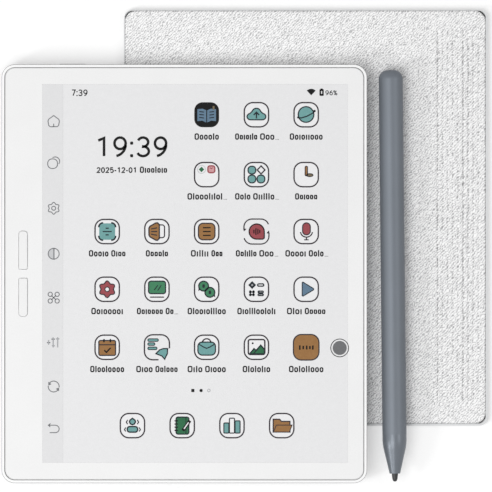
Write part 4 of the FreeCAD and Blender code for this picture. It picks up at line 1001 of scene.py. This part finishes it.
def drawBack(d, w):
    line(d, "strip", [(-1.9, 1.25), (0.6, 1.25)] + arc(0.6, -0.15, 1.45, 1.4, 90, -90, 12)
         + [(-1.5, -1.55)], w)
    line(d, "strip", [(-1.2, 1.95), (-2.0, 1.25), (-1.3, 0.6)], w)


stripMiddle = ((stripLow.x + stripHigh.x) / 2 - lensLow.x) / mm + strip["rightMm"]
signs = (drawHome, drawPair, drawCog, drawHalfDisc, drawClover, drawSliders, drawRefresh,
         drawBack)
for i, (draw, down) in enumerate(zip(signs, strip["fromTopMm"])):
    drawing = newDrawing(stripMiddle, down)
    draw(drawing, strip["lineMm"])
    finishDrawing(drawing, "strip_sign_%d" % (i + 1))
print("display drawing done")


def seenDirectly(tree):  # 1 for a camera, glossy or transmission ray
    path = addNode(tree, "LightPath", {}, {})
    seen = path.outputs["Is Camera Ray"]
    for ray in ("Is Glossy Ray", "Is Transmission Ray"):
        either = addNode(tree, "Math", {"operation": "MAXIMUM"}, {0: seen, 1: path.outputs[ray]})
        seen = either.outputs[0]
    return seen


floor = {"halfM": 3.0, "dropM": 0.00005, "colour": "#CFCFCF", "lift": 0.42}
floorPlane = addMesh("floor", [(sx * floor["halfM"], sy * floor["halfM"], -floor["dropM"])
                               for sx, sy in ((-1, -1), (1, -1), (1, 1), (-1, 1))], [[0, 1, 2, 3]])

# Painted board, matt white; what the camera sees of it is lifted to white, and its shadow stays.
paintedBoard, tree, shader = startMaterial("paintedBoard", {
    "Base Color": hexColour(floor["colour"]), "Roughness": 0.9, "Specular IOR Level": 0.1})
lift = addNode(tree, "Math", {"operation": "MULTIPLY"}, {0: seenDirectly(tree), 1: floor["lift"]})
glow = addNode(tree, "Emission", {}, {"Color": (1, 1, 1, 1), "Strength": lift.outputs[0]})
both = addNode(tree, "AddShader", {}, {0: shader.outputs[0], 1: glow.outputs[0]})
output = next(n for n in tree.nodes if n.type == "OUTPUT_MATERIAL")
tree.links.new(both.outputs[0], output.inputs["Surface"])
floorPlane.data.materials.append(paintedBoard)

studio = {
    "roomStrength": 0.46,
    "lamps": [  # name, power in watts, diameter and place in metres
        ("key", 11.6, 1.0, (-0.56, -0.4, 1.6)), ("fill", 4.0, 0.8, (1.3, 0.1, 1.3)),
        ("streak", 5.6, 0.34, (-1.26, -0.6, 0.92))]}
scene = bpy.context.scene
scene.world = bpy.data.worlds.new("room")
scene.world.use_nodes = True
tree = scene.world.node_tree
tree.nodes.clear()
strength = addNode(tree, "MapRange", {}, {  # the room's light, and white where it is seen
    0: seenDirectly(tree), 3: studio["roomStrength"], 4: 1.0})
backdrop = addNode(tree, "Background", {}, {
    "Color": (1, 1, 1, 1), "Strength": strength.outputs[0]})
addNode(tree, "OutputWorld", {}, {"Surface": backdrop.outputs[0]})

for name, power, size, place in studio["lamps"]:
    lamp = bpy.data.lights.new(name, "AREA")
    lamp.energy = power
    lamp.shape = "DISK"
    lamp.size = size
    shown = addObject(name, lamp)
    shown.location = place
    shown.rotation_euler = (-Vector(place)).to_track_quat("-Z", "Y").to_euler()

view = {  # straight down; wideM is the width of the frame at the object
    "aimXMm": 0.38, "aimYMm": 0.07, "highM": 7.0, "wideM": 0.1852, "sensorMm": 36.0,
    "nearM": 0.1, "farM": 60}
cameraData = bpy.data.cameras.new("camera")
cameraData.sensor_width = view["sensorMm"]
cameraData.lens = view["sensorMm"] * view["highM"] / view["wideM"]
cameraData.clip_start = view["nearM"]
cameraData.clip_end = view["farM"]
camera = addObject("camera", cameraData)
camera.location = (view["aimXMm"] * mm, view["aimYMm"] * mm, view["highM"])
scene.camera = camera
scene.view_settings.view_transform = "Standard"
print("light and camera set")
